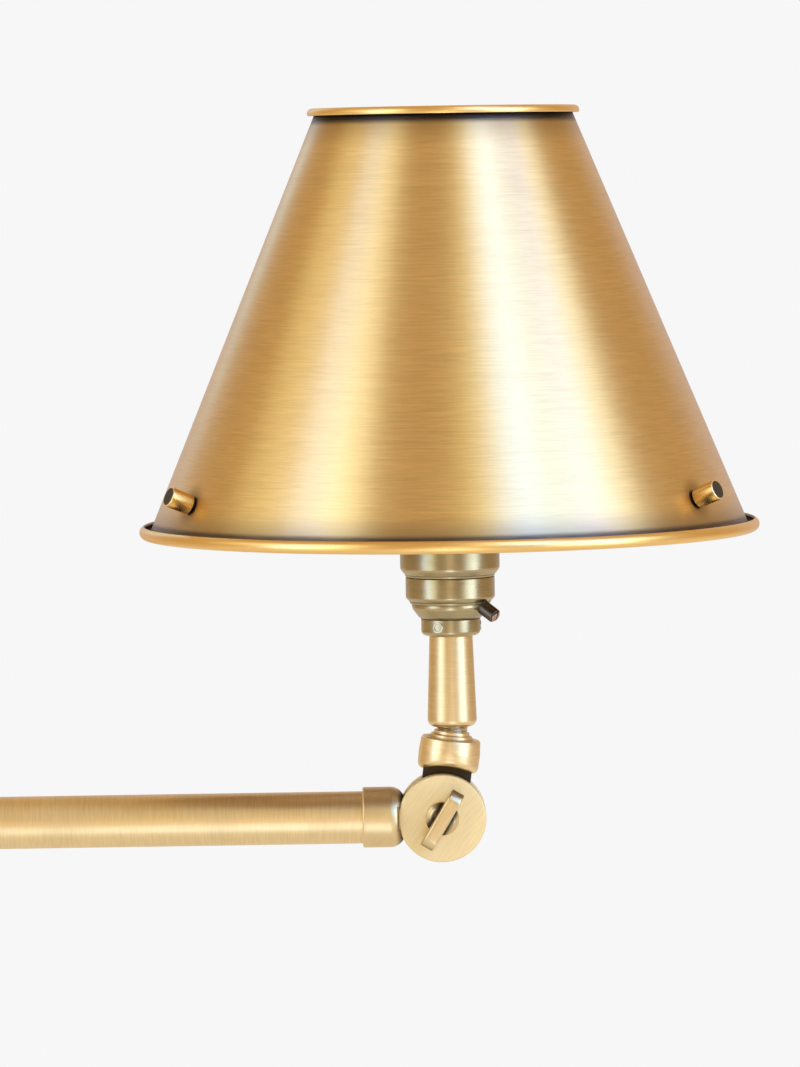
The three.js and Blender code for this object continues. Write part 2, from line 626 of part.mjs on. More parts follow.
function addStem(axis) {
  const nippleLow = COLLAR_END - SOCKET_DEPTH + GAP;
  const nippleHigh = CAP_BOTTOM + HOLDER_COLLAR_HEIGHT - OVERRUN;
  const shell = crankedBar(NIPPLE_RADIUS, nippleLow, nippleHigh, ROUND);
  const wayThrough = crankedBar(NIPPLE_BORE, nippleLow - OVERRUN, nippleHigh + OVERRUN, SMALL);
  add(axis, 'stem_nipple', cut(shell, wayThrough), nickel);
  const cable = crankedBar(CABLE_RADIUS, nippleLow + OVERRUN, nippleHigh - OVERRUN, CABLE);
  add(axis, 'stem_cable', cable, cableJacket);

  const stemRound = Math.min(STEM_ROUND, STEM_BOTTOM_WALL - 2 * GAP);
  const stem = turned([
    point(NIPPLE_RADIUS + GAP, STEM_BOTTOM),
    ...arc(STEM_BOTTOM_RADIUS - stemRound, STEM_BOTTOM + stemRound, stemRound, -90, 0, 4),
    point(STEM_TOP_RADIUS, STEM_TOP),
    point(NIPPLE_RADIUS + GAP, STEM_TOP),
  ]);
  add(axis, 'stem', stem, armBrass);
}

// The two thin rings that lie on the leaning collar.
function addStemRings(knuckle) {
  const low = COLLAR_END + GAP;
  const wide = ring(NIPPLE_RADIUS + GAP, RING_RADIUS, low, low + RING_THICKNESS, ROUND, EDGE / 2);
  add(knuckle, 'stem_ring', alongX(wide), armBrass);
  const stepLow = low + RING_THICKNESS + GAP;
  const narrow = ring(NIPPLE_RADIUS + GAP, STEP_RADIUS, stepLow, stepLow + STEP_THICKNESS, ROUND);
  add(knuckle, 'stem_ring_step', alongX(narrow), darkSteel);
}

// Put a geometry made along +Z at the earth terminal: out and down from the holder's shoulder.
function atTerminal(geometry) {
  geometry.rotateY(radians(90 + TERMINAL_DROP));
  geometry.translate(HOLDER_FLARE_RADIUS - HOLDER_WALL / 2, 0, CAP_TOP - TERMINAL_SINK);
  return geometry.rotateZ(radians(TERMINAL_AZIMUTH - 90));
}

// Put a geometry made along +Z at a grub screw: square to the collar of the holder's cap.
function atGrub(geometry, azimuth) {
  geometry.rotateY(Math.PI / 2);
  geometry.translate(0, 0, CAP_BOTTOM + GRUB_HEIGHT);
  return geometry.rotateZ(radians(azimuth - 90));
}

// A screwdriver slot across the end of a screw made along +Z.
function driverSlot(end) {
  const outline = rectangle(DRIVER_SLOT_LENGTH, DRIVER_SLOT_WIDTH);
  return raised(outline, end - DRIVER_SLOT_DEPTH, end + OVERRUN);
}

function addHolderCap(axis) {
  const flareBottom = CAP_BOTTOM + HOLDER_COLLAR_HEIGHT;
  const bend = (HOLDER_FLARE_RADIUS - HOLDER_COLLAR_RADIUS) / 2;
  const spigotTop = CAP_TOP + SPIGOT_HEIGHT;
  const spigotBore = SPIGOT_RADIUS - HOLDER_WALL;
  const inner = NIPPLE_RADIUS + GAP;
  const round = HOLDER_COLLAR_ROUND;
  const foot = arc(HOLDER_COLLAR_RADIUS - round, CAP_BOTTOM + round, round, -90, 0, 2);
  const cap = turned([
    point(inner, CAP_BOTTOM),
    ...foot,
    point(HOLDER_COLLAR_RADIUS, flareBottom),
    ...arc(HOLDER_COLLAR_RADIUS + bend, flareBottom + bend * 0.4, bend, 145, 110, 1),
    ...arc(HOLDER_FLARE_RADIUS - bend, CAP_TOP - bend * 1.3, bend, -60, 0, 2),
    point(HOLDER_FLARE_RADIUS, CAP_TOP),
    point(SPIGOT_RADIUS, CAP_TOP),
    point(SPIGOT_RADIUS, spigotTop),
    point(spigotBore, spigotTop),
    point(spigotBore, (flareBottom + CAP_TOP) / 2),
    point(inner, flareBottom),
  ]);
  const reach = HOLDER_COLLAR_RADIUS + OVERRUN;
  const grubHoles = GRUB_AZIMUTHS.map(
    (azimuth) => atGrub(bar(GRUB_RADIUS + GAP, NIPPLE_RADIUS, reach, SMALL), azimuth),
  );
  add(axis, 'holder_cap', cut(cap, terminalHole(), ...grubHoles), holderBrass);

  const grubEnd = HOLDER_COLLAR_RADIUS - GAP / 2;
  const grub = cut(bar(GRUB_RADIUS, inner, grubEnd, SMALL, TERMINAL_EDGE), driverSlot(grubEnd));
  GRUB_AZIMUTHS.forEach((azimuth, i) => {
    add(axis, `grub_screw_${i + 1}`, atGrub(grub.clone(), azimuth), nickel);
  });
}

function terminalHole() {
  const reach = TERMINAL_LENGTH + HOLDER_FLARE_WALL;
  return atTerminal(bar(TERMINAL_RADIUS + GAP, -TERMINAL_ROOT - GAP, reach, SMALL));
}

function addEarthTerminal(axis) {
  const screwFoot = TERMINAL_LENGTH - TERMINAL_SCREW_DEPTH;
  const screwBore = bar(TERMINAL_SCREW_RADIUS + GAP, screwFoot, TERMINAL_LENGTH + OVERRUN, CABLE);
  const post = bar(TERMINAL_RADIUS, -TERMINAL_ROOT, TERMINAL_LENGTH, SMALL, TERMINAL_EDGE);
  add(axis, 'earth_terminal', atTerminal(cut(post, screwBore)), darkSteel);
  const headLow = TERMINAL_LENGTH + GAP;
  const headHigh = headLow + TERMINAL_HEAD_HEIGHT;
  const screw = join(
    bar(TERMINAL_HEAD_RADIUS, headLow, headHigh, SMALL, TERMINAL_EDGE),
    bar(TERMINAL_SCREW_RADIUS, screwFoot + GAP, headLow + TERMINAL_EDGE, CABLE),
  );
  add(axis, 'earth_terminal_screw', atTerminal(cut(screw, driverSlot(headHigh))), copper);
}

function addHolderBody(axis) {
  const inner = SPIGOT_RADIUS + GAP;
  const bodyTop = BODY_BOTTOM + HOLDER_BODY_HEIGHT;
  const shoulder = arc(
    HOLDER_BODY_RADIUS - HOLDER_SHOULDER, BODY_BOTTOM + HOLDER_SHOULDER, HOLDER_SHOULDER, -90, 0, 3,
  );
  const body = turned([
    point(inner, BODY_BOTTOM),
    ...shoulder,
    point(HOLDER_BODY_RADIUS, bodyTop),
    point(inner, bodyTop),
  ]);
  add(axis, 'holder_body', cut(body, terminalHole()), holderBrass);

  const skirtInner = HOLDER_SKIRT_RADIUS - HOLDER_WALL;
  const flangeTop = CARRIER_Z - CARRIER_RING_THICKNESS / 2 - GAP;
  const flangeBottom = flangeTop - FLANGE_THICKNESS;
  const chamferTop = SKIRT_BOTTOM + HOLDER_SKIRT_CHAMFER;
  const skirt = turned([
    point(inner, SKIRT_BOTTOM),
    point(HOLDER_BODY_RADIUS, SKIRT_BOTTOM),
    point(HOLDER_SKIRT_RADIUS, chamferTop),
    point(HOLDER_SKIRT_RADIUS, flangeBottom),
    point(FLANGE_RADIUS, flangeBottom),
    point(FLANGE_RADIUS, flangeTop),
    point(HOLDER_SKIRT_RADIUS, flangeTop),
    point(HOLDER_SKIRT_RADIUS, SKIRT_TOP),
    point(skirtInner, SKIRT_TOP),
    point(skirtInner, chamferTop),
    point(inner, chamferTop - HOLDER_WALL),
  ]);
  add(axis, 'holder_skirt', skirt, holderBrass);

  const nutLow = CARRIER_TOP + GAP;
  const nutHigh = nutLow + RING_NUT_HEIGHT;
  const nut = ring(HOLDER_SKIRT_RADIUS + GAP, RING_NUT_RADIUS, nutLow, nutHigh, ROUND, INSERT_EDGE);
  add(axis, 'shade_ring_nut', nut, holderBrass);
}

function addHolderInsert(axis) {
  const insert = bar(SPIGOT_RADIUS, INSERT_BOTTOM, INSERT_TOP, ROUND, INSERT_EDGE);
  const wellFloor = INSERT_TOP - PLUNGER_DEPTH;
  const well = bar(PLUNGER_RADIUS + GAP, wellFloor, INSERT_TOP + OVERRUN, SMALL);
  const spots = [-PLUNGER_SPREAD, PLUNGER_SPREAD];
  const wells = spots.map((x) => well.clone().translate(x, 0, 0));
  const sleeveInner = SLEEVE_RADIUS - SLEEVE_WALL;
  const seatFloor = INSERT_TOP - SLEEVE_SEAT;
  const seat = ring(sleeveInner - GAP, SLEEVE_RADIUS + GAP, seatFloor, INSERT_TOP + OVERRUN);
  add(axis, 'holder_insert', cut(insert, seat, ...wells), porcelain);
  spots.forEach((x, i) => {
    const plunger = bar(PLUNGER_RADIUS, wellFloor + GAP, BULB_BOTTOM - GAP, SMALL, TERMINAL_EDGE);
    add(axis, `contact_plunger_${i + 1}`, plunger, copper).position.set(x, 0, 0);
  });

  const sleeveLow = seatFloor + GAP;
  const sleeveHigh = sleeveLow + SLEEVE_HEIGHT;
  const sleeve = ring(sleeveInner, SLEEVE_RADIUS, sleeveLow, sleeveHigh);
  const slotLow = BULB_BOTTOM + BULB_PIN_HEIGHT - 2 * BULB_PIN_LENGTH;
  const pinSlots = raised(rectangle(PIN_SLOT_WIDTH, 4 * SLEEVE_RADIUS), slotLow, sleeveHigh + OVERRUN);
  add(axis, 'bayonet_sleeve', cut(sleeve, pinSlots), armBrass);
}

// ---------------------------------------------------------------- shade

// Put a geometry made along +Z on the shade's wall at the knobs' height, pointing out squarely.
function onShadeWall(geometry, azimuth) {
  geometry.rotateY(Math.PI / 2 - SHADE_SLOPE);
  geometry.translate(KNOB_R, 0, KNOB_Z);
  return geometry.rotateZ(radians(azimuth - 90));
}

// The wall's section: a sheet that curls outwards at both rims. The centre line of the sheet is
// followed once along its outside and once back along its inside.
function shadeGeometry() {
  const slope = THREE.MathUtils.radToDeg(SHADE_SLOPE);
  const half = SHADE_WALL / 2;
  const lowCurl = BOTTOM_CURL_RADIUS - half;
  const highCurl = TOP_CURL_RADIUS - half;
  const bottom = SHADE_LIFT;
  const top = SHADE_LIFT + SHADE_HEIGHT;
  // centres of the curls, outside the wall's centre line
  const lowR = SHADE_BOTTOM_RADIUS - half + lowCurl * Math.cos(SHADE_SLOPE);
  const highR = SHADE_TOP_RADIUS - half + highCurl * Math.cos(SHADE_SLOPE);
  const start = 180 + slope; // where the wall's line meets either curl
  const steps = 6;
  const lowEnd = start + CURL_SWEEP;
  const highEnd = start - CURL_SWEEP;
  const outside = [
    ...arc(lowR, bottom, lowCurl + half, lowEnd, start, steps),
    ...arc(highR, top, highCurl + half, start, highEnd, steps),
  ];
  const inside = [
    ...arc(highR, top, highCurl - half, highEnd, start, steps),
    ...arc(lowR, bottom, lowCurl - half, start, lowEnd, steps),
  ];
  const wall = turned([...inside, ...outside].reverse(), FINE);
  const reach = 4 * SHADE_WALL;
  const holes = KNOB_AZIMUTHS.map(
    (azimuth) => onShadeWall(bar(CARRIER_ROD_RADIUS + GAP, -reach, reach, SMALL), azimuth),
  );
  return cut(wall, ...holes);
}

function addShade(axis) {
  add(axis, 'shade', shadeGeometry(), shadeBrass);

  const rodEnd = KNOB_LENGTH - KNOB_FLOOR;
  const hoopLow = CARRIER_TOP - CARRIER_RING_THICKNESS;
  const hoopInner = HOLDER_SKIRT_RADIUS + GAP;
  const hoop = ring(hoopInner, CARRIER_RING_RADIUS, hoopLow, CARRIER_TOP, ROUND, EDGE / 2);
  const bendR = KNOB_R - CARRIER_BEND * Math.cos(SHADE_SLOPE);
  const rods = KNOB_AZIMUTHS.flatMap((azimuth) => {
    const spoke = alongX(bar(CARRIER_ROD_RADIUS * 0.6, CARRIER_RING_RADIUS - OVERRUN, bendR, SMALL));
    spoke.scale(1, 1.6, 1); // flattened, to pass between the flange and the nut
    spoke.translate(0, 0, CARRIER_Z);
    const bend = welded(new THREE.SphereGeometry(CARRIER_ROD_RADIUS * 1.2, 8, 4));
    bend.translate(bendR, 0, CARRIER_Z);
    const turn = radians(azimuth - 90);
    const end = onShadeWall(bar(CARRIER_ROD_RADIUS, -CARRIER_BEND, rodEnd, SMALL), azimuth);
    const flangeOut = -SHADE_WALL - 2 * GAP - FACET_SAG;
    const flangeIn = flangeOut - CARRIER_FLANGE_THICKNESS;
    const disc = bar(KNOB_RADIUS + CARRIER_FLANGE_WIDTH, flangeIn, flangeOut, SMALL);
    const flange = onShadeWall(disc, azimuth);
    return [spoke.rotateZ(turn), bend.rotateZ(turn), end, flange];
  });
  add(axis, 'shade_carrier', join(hoop, ...rods), armBrass);

  KNOB_AZIMUTHS.forEach((azimuth, i) => {
    const knob = cut(
      bar(KNOB_RADIUS, GAP, GAP + KNOB_LENGTH, CABLE, KNOB_EDGE),
      bar(CARRIER_ROD_RADIUS + GAP, 0, rodEnd + GAP, SMALL),
    );
    add(axis, `shade_knob_${i + 1}`, onShadeWall(knob, azimuth), shadeBrass);
  });
}

// ---------------------------------------------------------------- bulb

// A pear: a neck that flares along an S into a round crown, drawn in by a shift.
function bulbOutline(neckRadius, neckLow, shift) {
  const rim = BULB_BOTTOM + BULB_CAP_HEIGHT;
  const flareLow = rim + 2 * BULB_PIN_LENGTH;
  const crownZ = rim + BULB_HEIGHT - BULB_RADIUS;
  const points = [point(neckRadius - shift, neckLow), point(neckRadius - shift, flareLow)];
  const steps = 5;
  for (let i = 1; i < steps; i += 1) {
    const t = i / steps;
    const ease = (1 - Math.cos(Math.PI * t)) / 2;
    const radius = neckRadius + (BULB_RADIUS - neckRadius) * ease;
    points.push(point(radius - shift, flareLow + (crownZ - flareLow) * t));
  }
  const crown = arc(0, crownZ, BULB_RADIUS - shift, 0, 72, 4);
  return [...points, ...crown, point(0, crownZ + BULB_RADIUS - shift)];
}

function addBulb(axis) {
  const rim = BULB_BOTTOM + BULB_CAP_HEIGHT;
  const inner = BULB_CAP_RADIUS - BULB_CAP_WALL;
  const floor = BULB_BOTTOM + BULB_LIFT;
  const cup = turned([
    point(0, BULB_BOTTOM),
    point(BULB_CAP_RADIUS - BULB_PIN_LENGTH, BULB_BOTTOM),
    point(BULB_CAP_RADIUS, BULB_BOTTOM + BULB_PIN_LENGTH),
    point(BULB_CAP_RADIUS, rim),
    point(inner, rim),
    point(inner, floor),
    point(0, floor),
  ]);
  const pin = bar(BULB_PIN_RADIUS, inner, BULB_CAP_RADIUS + BULB_PIN_LENGTH, SMALL);
  const pinZ = BULB_BOTTOM + BULB_PIN_HEIGHT;
  const frontPin = pin.clone().rotateX(Math.PI / 2).translate(0, 0, pinZ);
  const rearPin = pin.clone().rotateX(-Math.PI / 2).translate(0, 0, pinZ);
  add(axis, 'bulb_cap', join(cup, frontPin, rearPin), nickel);

  const neckRadius = inner - GAP;
  const neckLow = rim - BULB_PIN_HEIGHT;
  const outside = bulbOutline(neckRadius, neckLow, 0);
  const inside = bulbOutline(neckRadius, neckLow, BULB_WALL);
  add(axis, 'bulb_glass', turned([...inside.reverse(), ...outside, inside[0]]), opalGlass);
}

// ---------------------------------------------------------------- assembly

function build() {
  const light = new THREE.Group();
  addWallPlate(light);

  const wallKnuckle = groupAt(light, 0, -WALL_PIVOT, 0);
  wallKnuckle.rotation.z = -Math.PI / 2;
  add(wallKnuckle, 'wall_fork', forkGeometry(WALL_NIPPLE_RADIUS), armBrass);
  add(wallKnuckle, 'wall_wing_screw', wingScrewGeometry(), armBrass).rotation.z = radians(WALL_WING_TURN);
  const rearNames = { tongue: 'wall_tongue', fork: 'elbow_fork' };
  addArm(wallKnuckle, 'rear', REAR_ARM_LENGTH, rearNames).position.x = REAR_ARM_LENGTH;

  const elbow = groupAt(light, 0, -WALL_PIVOT - REAR_ARM_LENGTH, 0);
  add(elbow, 'elbow_wing_screw', wingScrewGeometry(), armBrass).rotation.z = radians(ELBOW_WING_TURN);
  const frontNames = { tongue: 'elbow_tongue', fork: 'head_fork' };
  const headFork = addArm(elbow, 'front', FRONT_ARM_LENGTH, frontNames);
  headFork.position.x = FRONT_ARM_LENGTH;
  headFork.rotation.x = Math.PI / 2;

  // the head's pivot lies along Y, with its wing screw towards the room
  const head = groupAt(elbow, FRONT_ARM_LENGTH, 0, 0);
  const headKnuckle = groupAt(head, 0, 0, 0);
  headKnuckle.rotation.x = Math.PI / 2;
  add(headKnuckle, 'head_wing_screw', wingScrewGeometry(), armBrass).rotation.z = radians(HEAD_WING_TURN);
  const leaning = groupAt(headKnuckle, 0, 0, 0);
  leaning.rotation.z = Math.PI / 2 - LEAN;
  add(leaning, 'head_tongue', tongueGeometry(NIPPLE_RADIUS), armBrass);
  add(leaning, 'head_washer_front', washerGeometry(1), nickel);
  add(leaning, 'head_washer_rear', washerGeometry(-1), nickel);
  addStemRings(leaning);

  const axis = groupAt(head, STEM_OFFSET, 0, 0);
  addStem(axis);
  addHolderCap(axis);
  addEarthTerminal(axis);
  addHolderBody(axis);
  addHolderInsert(axis);
  addShade(axis);
  addBulb(axis);
  return light;
}

export default build();
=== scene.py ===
"""A swing arm wall light in brushed brass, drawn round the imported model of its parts.

Each operator makes one group of pieces. A piece is a surface worked out with numpy in metres,
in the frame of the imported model, and it rides on the body of the part that it stands for.
"""
import json
import math

import bmesh
import bpy
import numpy as np
from bpy.props import FloatProperty, FloatVectorProperty, IntProperty, PointerProperty
from mathutils import Matrix, Vector


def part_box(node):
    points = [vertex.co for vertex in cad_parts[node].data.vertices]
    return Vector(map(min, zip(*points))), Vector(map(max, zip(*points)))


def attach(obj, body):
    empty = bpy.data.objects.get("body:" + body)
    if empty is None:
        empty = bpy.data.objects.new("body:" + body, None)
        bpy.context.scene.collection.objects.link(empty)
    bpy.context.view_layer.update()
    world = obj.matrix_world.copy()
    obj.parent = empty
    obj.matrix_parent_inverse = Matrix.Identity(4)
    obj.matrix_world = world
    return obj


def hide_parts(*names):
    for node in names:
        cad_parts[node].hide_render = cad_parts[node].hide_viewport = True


bl_info = {
    "name": "Swing Arm Wall Light",
    "version": (1, 0, 0),
    "blender": (4, 5, 0),
    "location": "3D View > Sidebar > Wall Light",
    "description": "Makes a brass wall light with two swing arms and a conical shade",
    "category": "Add Mesh",
}

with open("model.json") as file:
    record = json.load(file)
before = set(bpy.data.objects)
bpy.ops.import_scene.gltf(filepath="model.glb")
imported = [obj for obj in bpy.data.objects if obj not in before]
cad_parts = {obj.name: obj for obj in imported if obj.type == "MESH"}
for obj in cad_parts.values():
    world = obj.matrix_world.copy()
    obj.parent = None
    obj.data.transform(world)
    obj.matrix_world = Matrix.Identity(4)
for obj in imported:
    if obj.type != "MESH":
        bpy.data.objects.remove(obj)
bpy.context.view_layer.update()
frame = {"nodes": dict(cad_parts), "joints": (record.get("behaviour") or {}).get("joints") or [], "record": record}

MM = 0.001
FULL = 2 * math.pi
SIDES = 128  # round a shade, a disc or the wall plate
TURNED_SIDES = 96  # round a tube, a collar or the lamp holder
SCREW_SIDES = 40


def pivot(name):
    """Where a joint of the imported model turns, as a vector."""
    return Vector(next(j["pos_m"] for j in frame["joints"] if j["name"] == name))


def middle(node):
    """The middle of a part's box at rest."""
    low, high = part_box(node)
    return (Vector(low) + Vector(high)) / 2


def span(node, axis):
    """The lowest and the highest coordinate of a part's box along one axis."""
    low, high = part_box(node)
    return low[axis], high[axis]


WALL_PIVOT = pivot("wall_swing")
ELBOW_PIVOT = pivot("elbow_swing")
HEAD_PIVOT = pivot("head_tilt")
STEM_AXIS = middle("holder_body")
STEM_OFFSET = STEM_AXIS.x - HEAD_PIVOT.x
KINK_HEIGHT = 34.5 * MM
LEAN = math.atan2(STEM_OFFSET, KINK_HEIGHT)
UPRIGHT = Matrix.Translation((STEM_AXIS.x, STEM_AXIS.y, HEAD_PIVOT.z))
ALONG_X = Matrix.Rotation(math.pi / 2, 4, "Y")
AGAINST_X = Matrix.Rotation(-math.pi / 2, 4, "Y")
ALONG_Y = Matrix.Rotation(-math.pi / 2, 4, "X")
AGAINST_Y = Matrix.Rotation(math.pi / 2, 4, "X")
WALL_PLACE = Matrix.Translation(WALL_PIVOT) @ Matrix.Rotation(-math.pi / 2, 4, "Z")
ELBOW_FORK_PLACE = Matrix.Translation(ELBOW_PIVOT) @ Matrix.Rotation(-math.pi / 2, 4, "Z")
ELBOW_PLACE = Matrix.Translation(ELBOW_PIVOT)
HEAD_PLACE = Matrix.Translation(HEAD_PIVOT) @ Matrix.Rotation(math.pi / 2, 4, "X")
TONGUE_PLACE = HEAD_PLACE @ Matrix.Rotation(math.pi / 2 - LEAN, 4, "Z")


ARM_RADIUS = 10.1 * MM
ARM_WALL = 1.5 * MM
STEM_NIPPLE_BORE = 6.1 * MM
SHADE_BOTTOM_RADIUS = 115.6 * MM
SHADE_TOP_RADIUS = 49.5 * MM
SHADE_HEIGHT = 159.8 * MM
KNOB_AZIMUTHS = (-62.75, 57.25, 177.25)  # from the front, towards +X
KNOB_RISE = 13 * MM  # above the middle of the bottom rim
# how far the wall stands from the shade's axis at the knobs
KNOB_RADIUS = SHADE_BOTTOM_RADIUS - KNOB_RISE * (SHADE_BOTTOM_RADIUS - SHADE_TOP_RADIUS) / SHADE_HEIGHT

# Soft boxes round the head: azimuth from the camera towards +X, elevation, and power in watts of
# red, green and blue. Neighbours make one tall box. The powers are fitted values, rounded to a
# tenth of a watt, and the front box, at azimuth 0 and elevation -5, was given apart from the fit.
BOX_WIDTH, BOX_HEIGHT = 15, 30  # degrees
BOXES = (
    (0, -35, (1.8, 2.3, 2.9)),
    (-60, -5, (2.2, 3.1, 4.7)),
    (-45, -5, (1.7, 2.1, 1.8)),
    (0, -5, (1.1, 1.0, 0.8)),
    (45, -5, (2.2, 2.8, 3.3)),
    (60, -5, (3.3, 4.5, 5.9)),
    (-150, 25, (0.2, 0.6, 0.9)),
    (-90, 25, (0.6, 0.7, 0.5)),
    (-75, 25, (0.8, 0.9, 0.6)),
    (-60, 25, (1.4, 2.3, 4.3)),
    (-45, 25, (2.4, 3.1, 3.0)),
    (15, 25, (1.0, 1.1, 0.0)),
    (30, 25, (0.3, 2.1, 7.0)),
    (45, 25, (0.8, 2.0, 2.9)),
    (60, 25, (1.4, 2.6, 6.7)),
    (75, 25, (1.6, 2.3, 2.6)),
    (30, 55, (1.3, 1.8, 2.1)),
    (45, 55, (1.3, 1.7, 3.4)),
)


# ---------------------------------------------------------------- what a user would change


class WallLightShade(bpy.types.PropertyGroup):
    """Sizes of the shade."""

    bottom_radius: FloatProperty(
        name="Bottom radius", description="Outside of the wall at the bottom rim",
        default=SHADE_BOTTOM_RADIUS, unit="LENGTH"
    )
    top_radius: FloatProperty(
        name="Top radius", description="Outside of the wall at the top rim",
        default=SHADE_TOP_RADIUS, unit="LENGTH"
    )
    height: FloatProperty(
        name="Height", description="From the middle of one rim to the other",
        default=SHADE_HEIGHT, unit="LENGTH"
    )
    lift: FloatProperty(
        name="Lift", description="From the head's pivot to the middle of the bottom rim",
        default=112 * MM, unit="LENGTH",
    )
    wall: FloatProperty(name="Wall", description="Thickness of the sheet", default=0.9 * MM, unit="LENGTH")
    bottom_curl: FloatProperty(
        name="Bottom curl", description="Outer radius of the bottom rim's curl",
        default=2.45 * MM, unit="LENGTH"
    )
    top_curl: FloatProperty(
        name="Top curl", description="Outer radius of the top rim's curl", default=1.9 * MM, unit="LENGTH"
    )
    curl_sweep: FloatProperty(
        name="Curl sweep", description="How far a rim's sheet is rolled",
        default=math.radians(230), subtype="ANGLE"
    )


class WallLightKnuckle(bpy.types.PropertyGroup):
    """Sizes that every knuckle shares."""

    cheek_radius: FloatProperty(
        name="Cheek radius", description="Radius of a fork's two discs", default=17 * MM, unit="LENGTH"
    )
    cheek_inner: FloatProperty(
        name="Cheek inner face", description="From the knuckle's middle to a disc",
        default=3.9 * MM, unit="LENGTH"
    )
    cheek_face: FloatProperty(
        name="Cheek face", description="From the knuckle's middle to a disc's face",
        default=8.5 * MM, unit="LENGTH"
    )
    collar_radius: FloatProperty(
        name="Collar radius", description="Radius of the collars", default=11.7 * MM, unit="LENGTH"
    )
    collar_end: FloatProperty(
        name="Collar end", description="From the pivot to a collar's outer end",
        default=30.7 * MM, unit="LENGTH"
    )
    scallop: FloatProperty(
        name="Scallop", description="Radius of the hollow end of the tongue's collar", default=20.4 * MM,
        unit="LENGTH",
    )
    wing_span: FloatProperty(
        name="Wing span", description="Length of a wing screw's blade", default=24.8 * MM, unit="LENGTH"
    )
    wing_thickness: FloatProperty(
        name="Wing thickness", description="Thickness of a wing screw's blade",
        default=5.2 * MM, unit="LENGTH"
    )


class WallLightFinish(bpy.types.PropertyGroup):
    """Colours of the metals and the strength of their brushing."""

    shade: FloatVectorProperty(
        name="Shade", description="Brass of the shade",
        default=(0.81, 0.58, 0.295), subtype="COLOR", min=0, max=1
    )
    rim: FloatVectorProperty(
        name="Rims", description="Brass of the shade's curled rims",
        default=(0.92, 0.61, 0.24), subtype="COLOR",
        min=0, max=1,
    )
    arm: FloatVectorProperty(
        name="Arm", description="Brass of the arms and knuckles",
        default=(0.88, 0.685, 0.405), subtype="COLOR",
        min=0, max=1,
    )
    holder: FloatVectorProperty(
        name="Holder", description="Brass of the lamp holder",
        default=(0.46, 0.385, 0.245), subtype="COLOR",
        min=0, max=1,
    )
    # this colour is also used for painted shade in the knuckles' gaps, on a collar's shoulder and at the blade
    # ends
    patina_and_shade: FloatVectorProperty(
        name="Patina", description="Dark brown left in hollows",
        default=(0.028, 0.020, 0.015), subtype="COLOR",
        min=0, max=1,
    )
    nickel: FloatVectorProperty(
        name="Nickel", description="Plated neck, nipples and grub screws", default=(0.56, 0.54, 0.51),
        subtype="COLOR", min=0, max=1,
    )
    brushing: FloatProperty(
        name="Brushing", description="Depth of the brush lines",
        default=0.16, min=0, max=1, subtype="FACTOR"
    )


class WallLightStage(bpy.types.PropertyGroup):
    """Camera and light."""

    distance: FloatProperty(
        name="Distance", description="Camera to the head's pivot, along Y", default=2.212, unit="LENGTH"
    )
    lens: FloatProperty(name="Lens", description="Focal length in millimetres", default=193.9)
    aim_x: FloatProperty(
        name="Aim to the left", description="View's middle, left of the head's pivot",
        default=14.6 * MM, unit="LENGTH"
    )
    aim_z: FloatProperty(
        name="Aim above", description="View's middle, above the head's pivot",
        default=109.8 * MM, unit="LENGTH"
    )
    pitch: FloatProperty(
        name="Pitch", description="How far the camera looks down",
        default=math.radians(3.7), subtype="ANGLE"
    )
    roll: FloatProperty(
        name="Roll", description="Turn of the camera about its view",
        default=math.radians(-0.9), subtype="ANGLE"
    )
    backdrop: FloatProperty(
        name="Backdrop", description="Brightness of the backdrop",
        default=0.93, min=0, max=2
    )
    room: FloatVectorProperty(
        name="Room", description="Colour of the warm room that the metal reflects",
        default=(0.63, 0.44, 0.21),
        subtype="COLOR", min=0, max=2,
    )
    behind: FloatVectorProperty(
        name="Behind", description="Colour of the backdrop that the metal reflects",
        default=(0.72, 0.60, 0.56),
        subtype="COLOR", min=0, max=2,
    )
    below: FloatVectorProperty(
        name="Below", description="Colour of the floor that the metal reflects", default=(0.92, 0.84, 0.68),
        subtype="COLOR", min=0, max=2,
    )
    boxes_away: FloatProperty(
        name="Boxes away", description="From the middle of the head to the soft boxes",
        default=1.7, unit="LENGTH"
    )
    boxes_above: FloatProperty(
        name="Boxes above", description="What they aim at, above the head's pivot",
        default=0.1, unit="LENGTH"
    )
    floor_drop: FloatProperty(
        name="Floor drop", description="Floor below the arms", default=1.3, unit="LENGTH"
    )
    floor_radius: FloatProperty(
        name="Floor radius", description="Radius of the floor",
        default=5.0, unit="LENGTH"
    )


SETTINGS = {
    "wall_light_shade": WallLightShade,
    "wall_light_knuckle": WallLightKnuckle,
    "wall_light_finish": WallLightFinish,
    "wall_light_stage": WallLightStage,
}


# ---------------------------------------------------------------- outlines


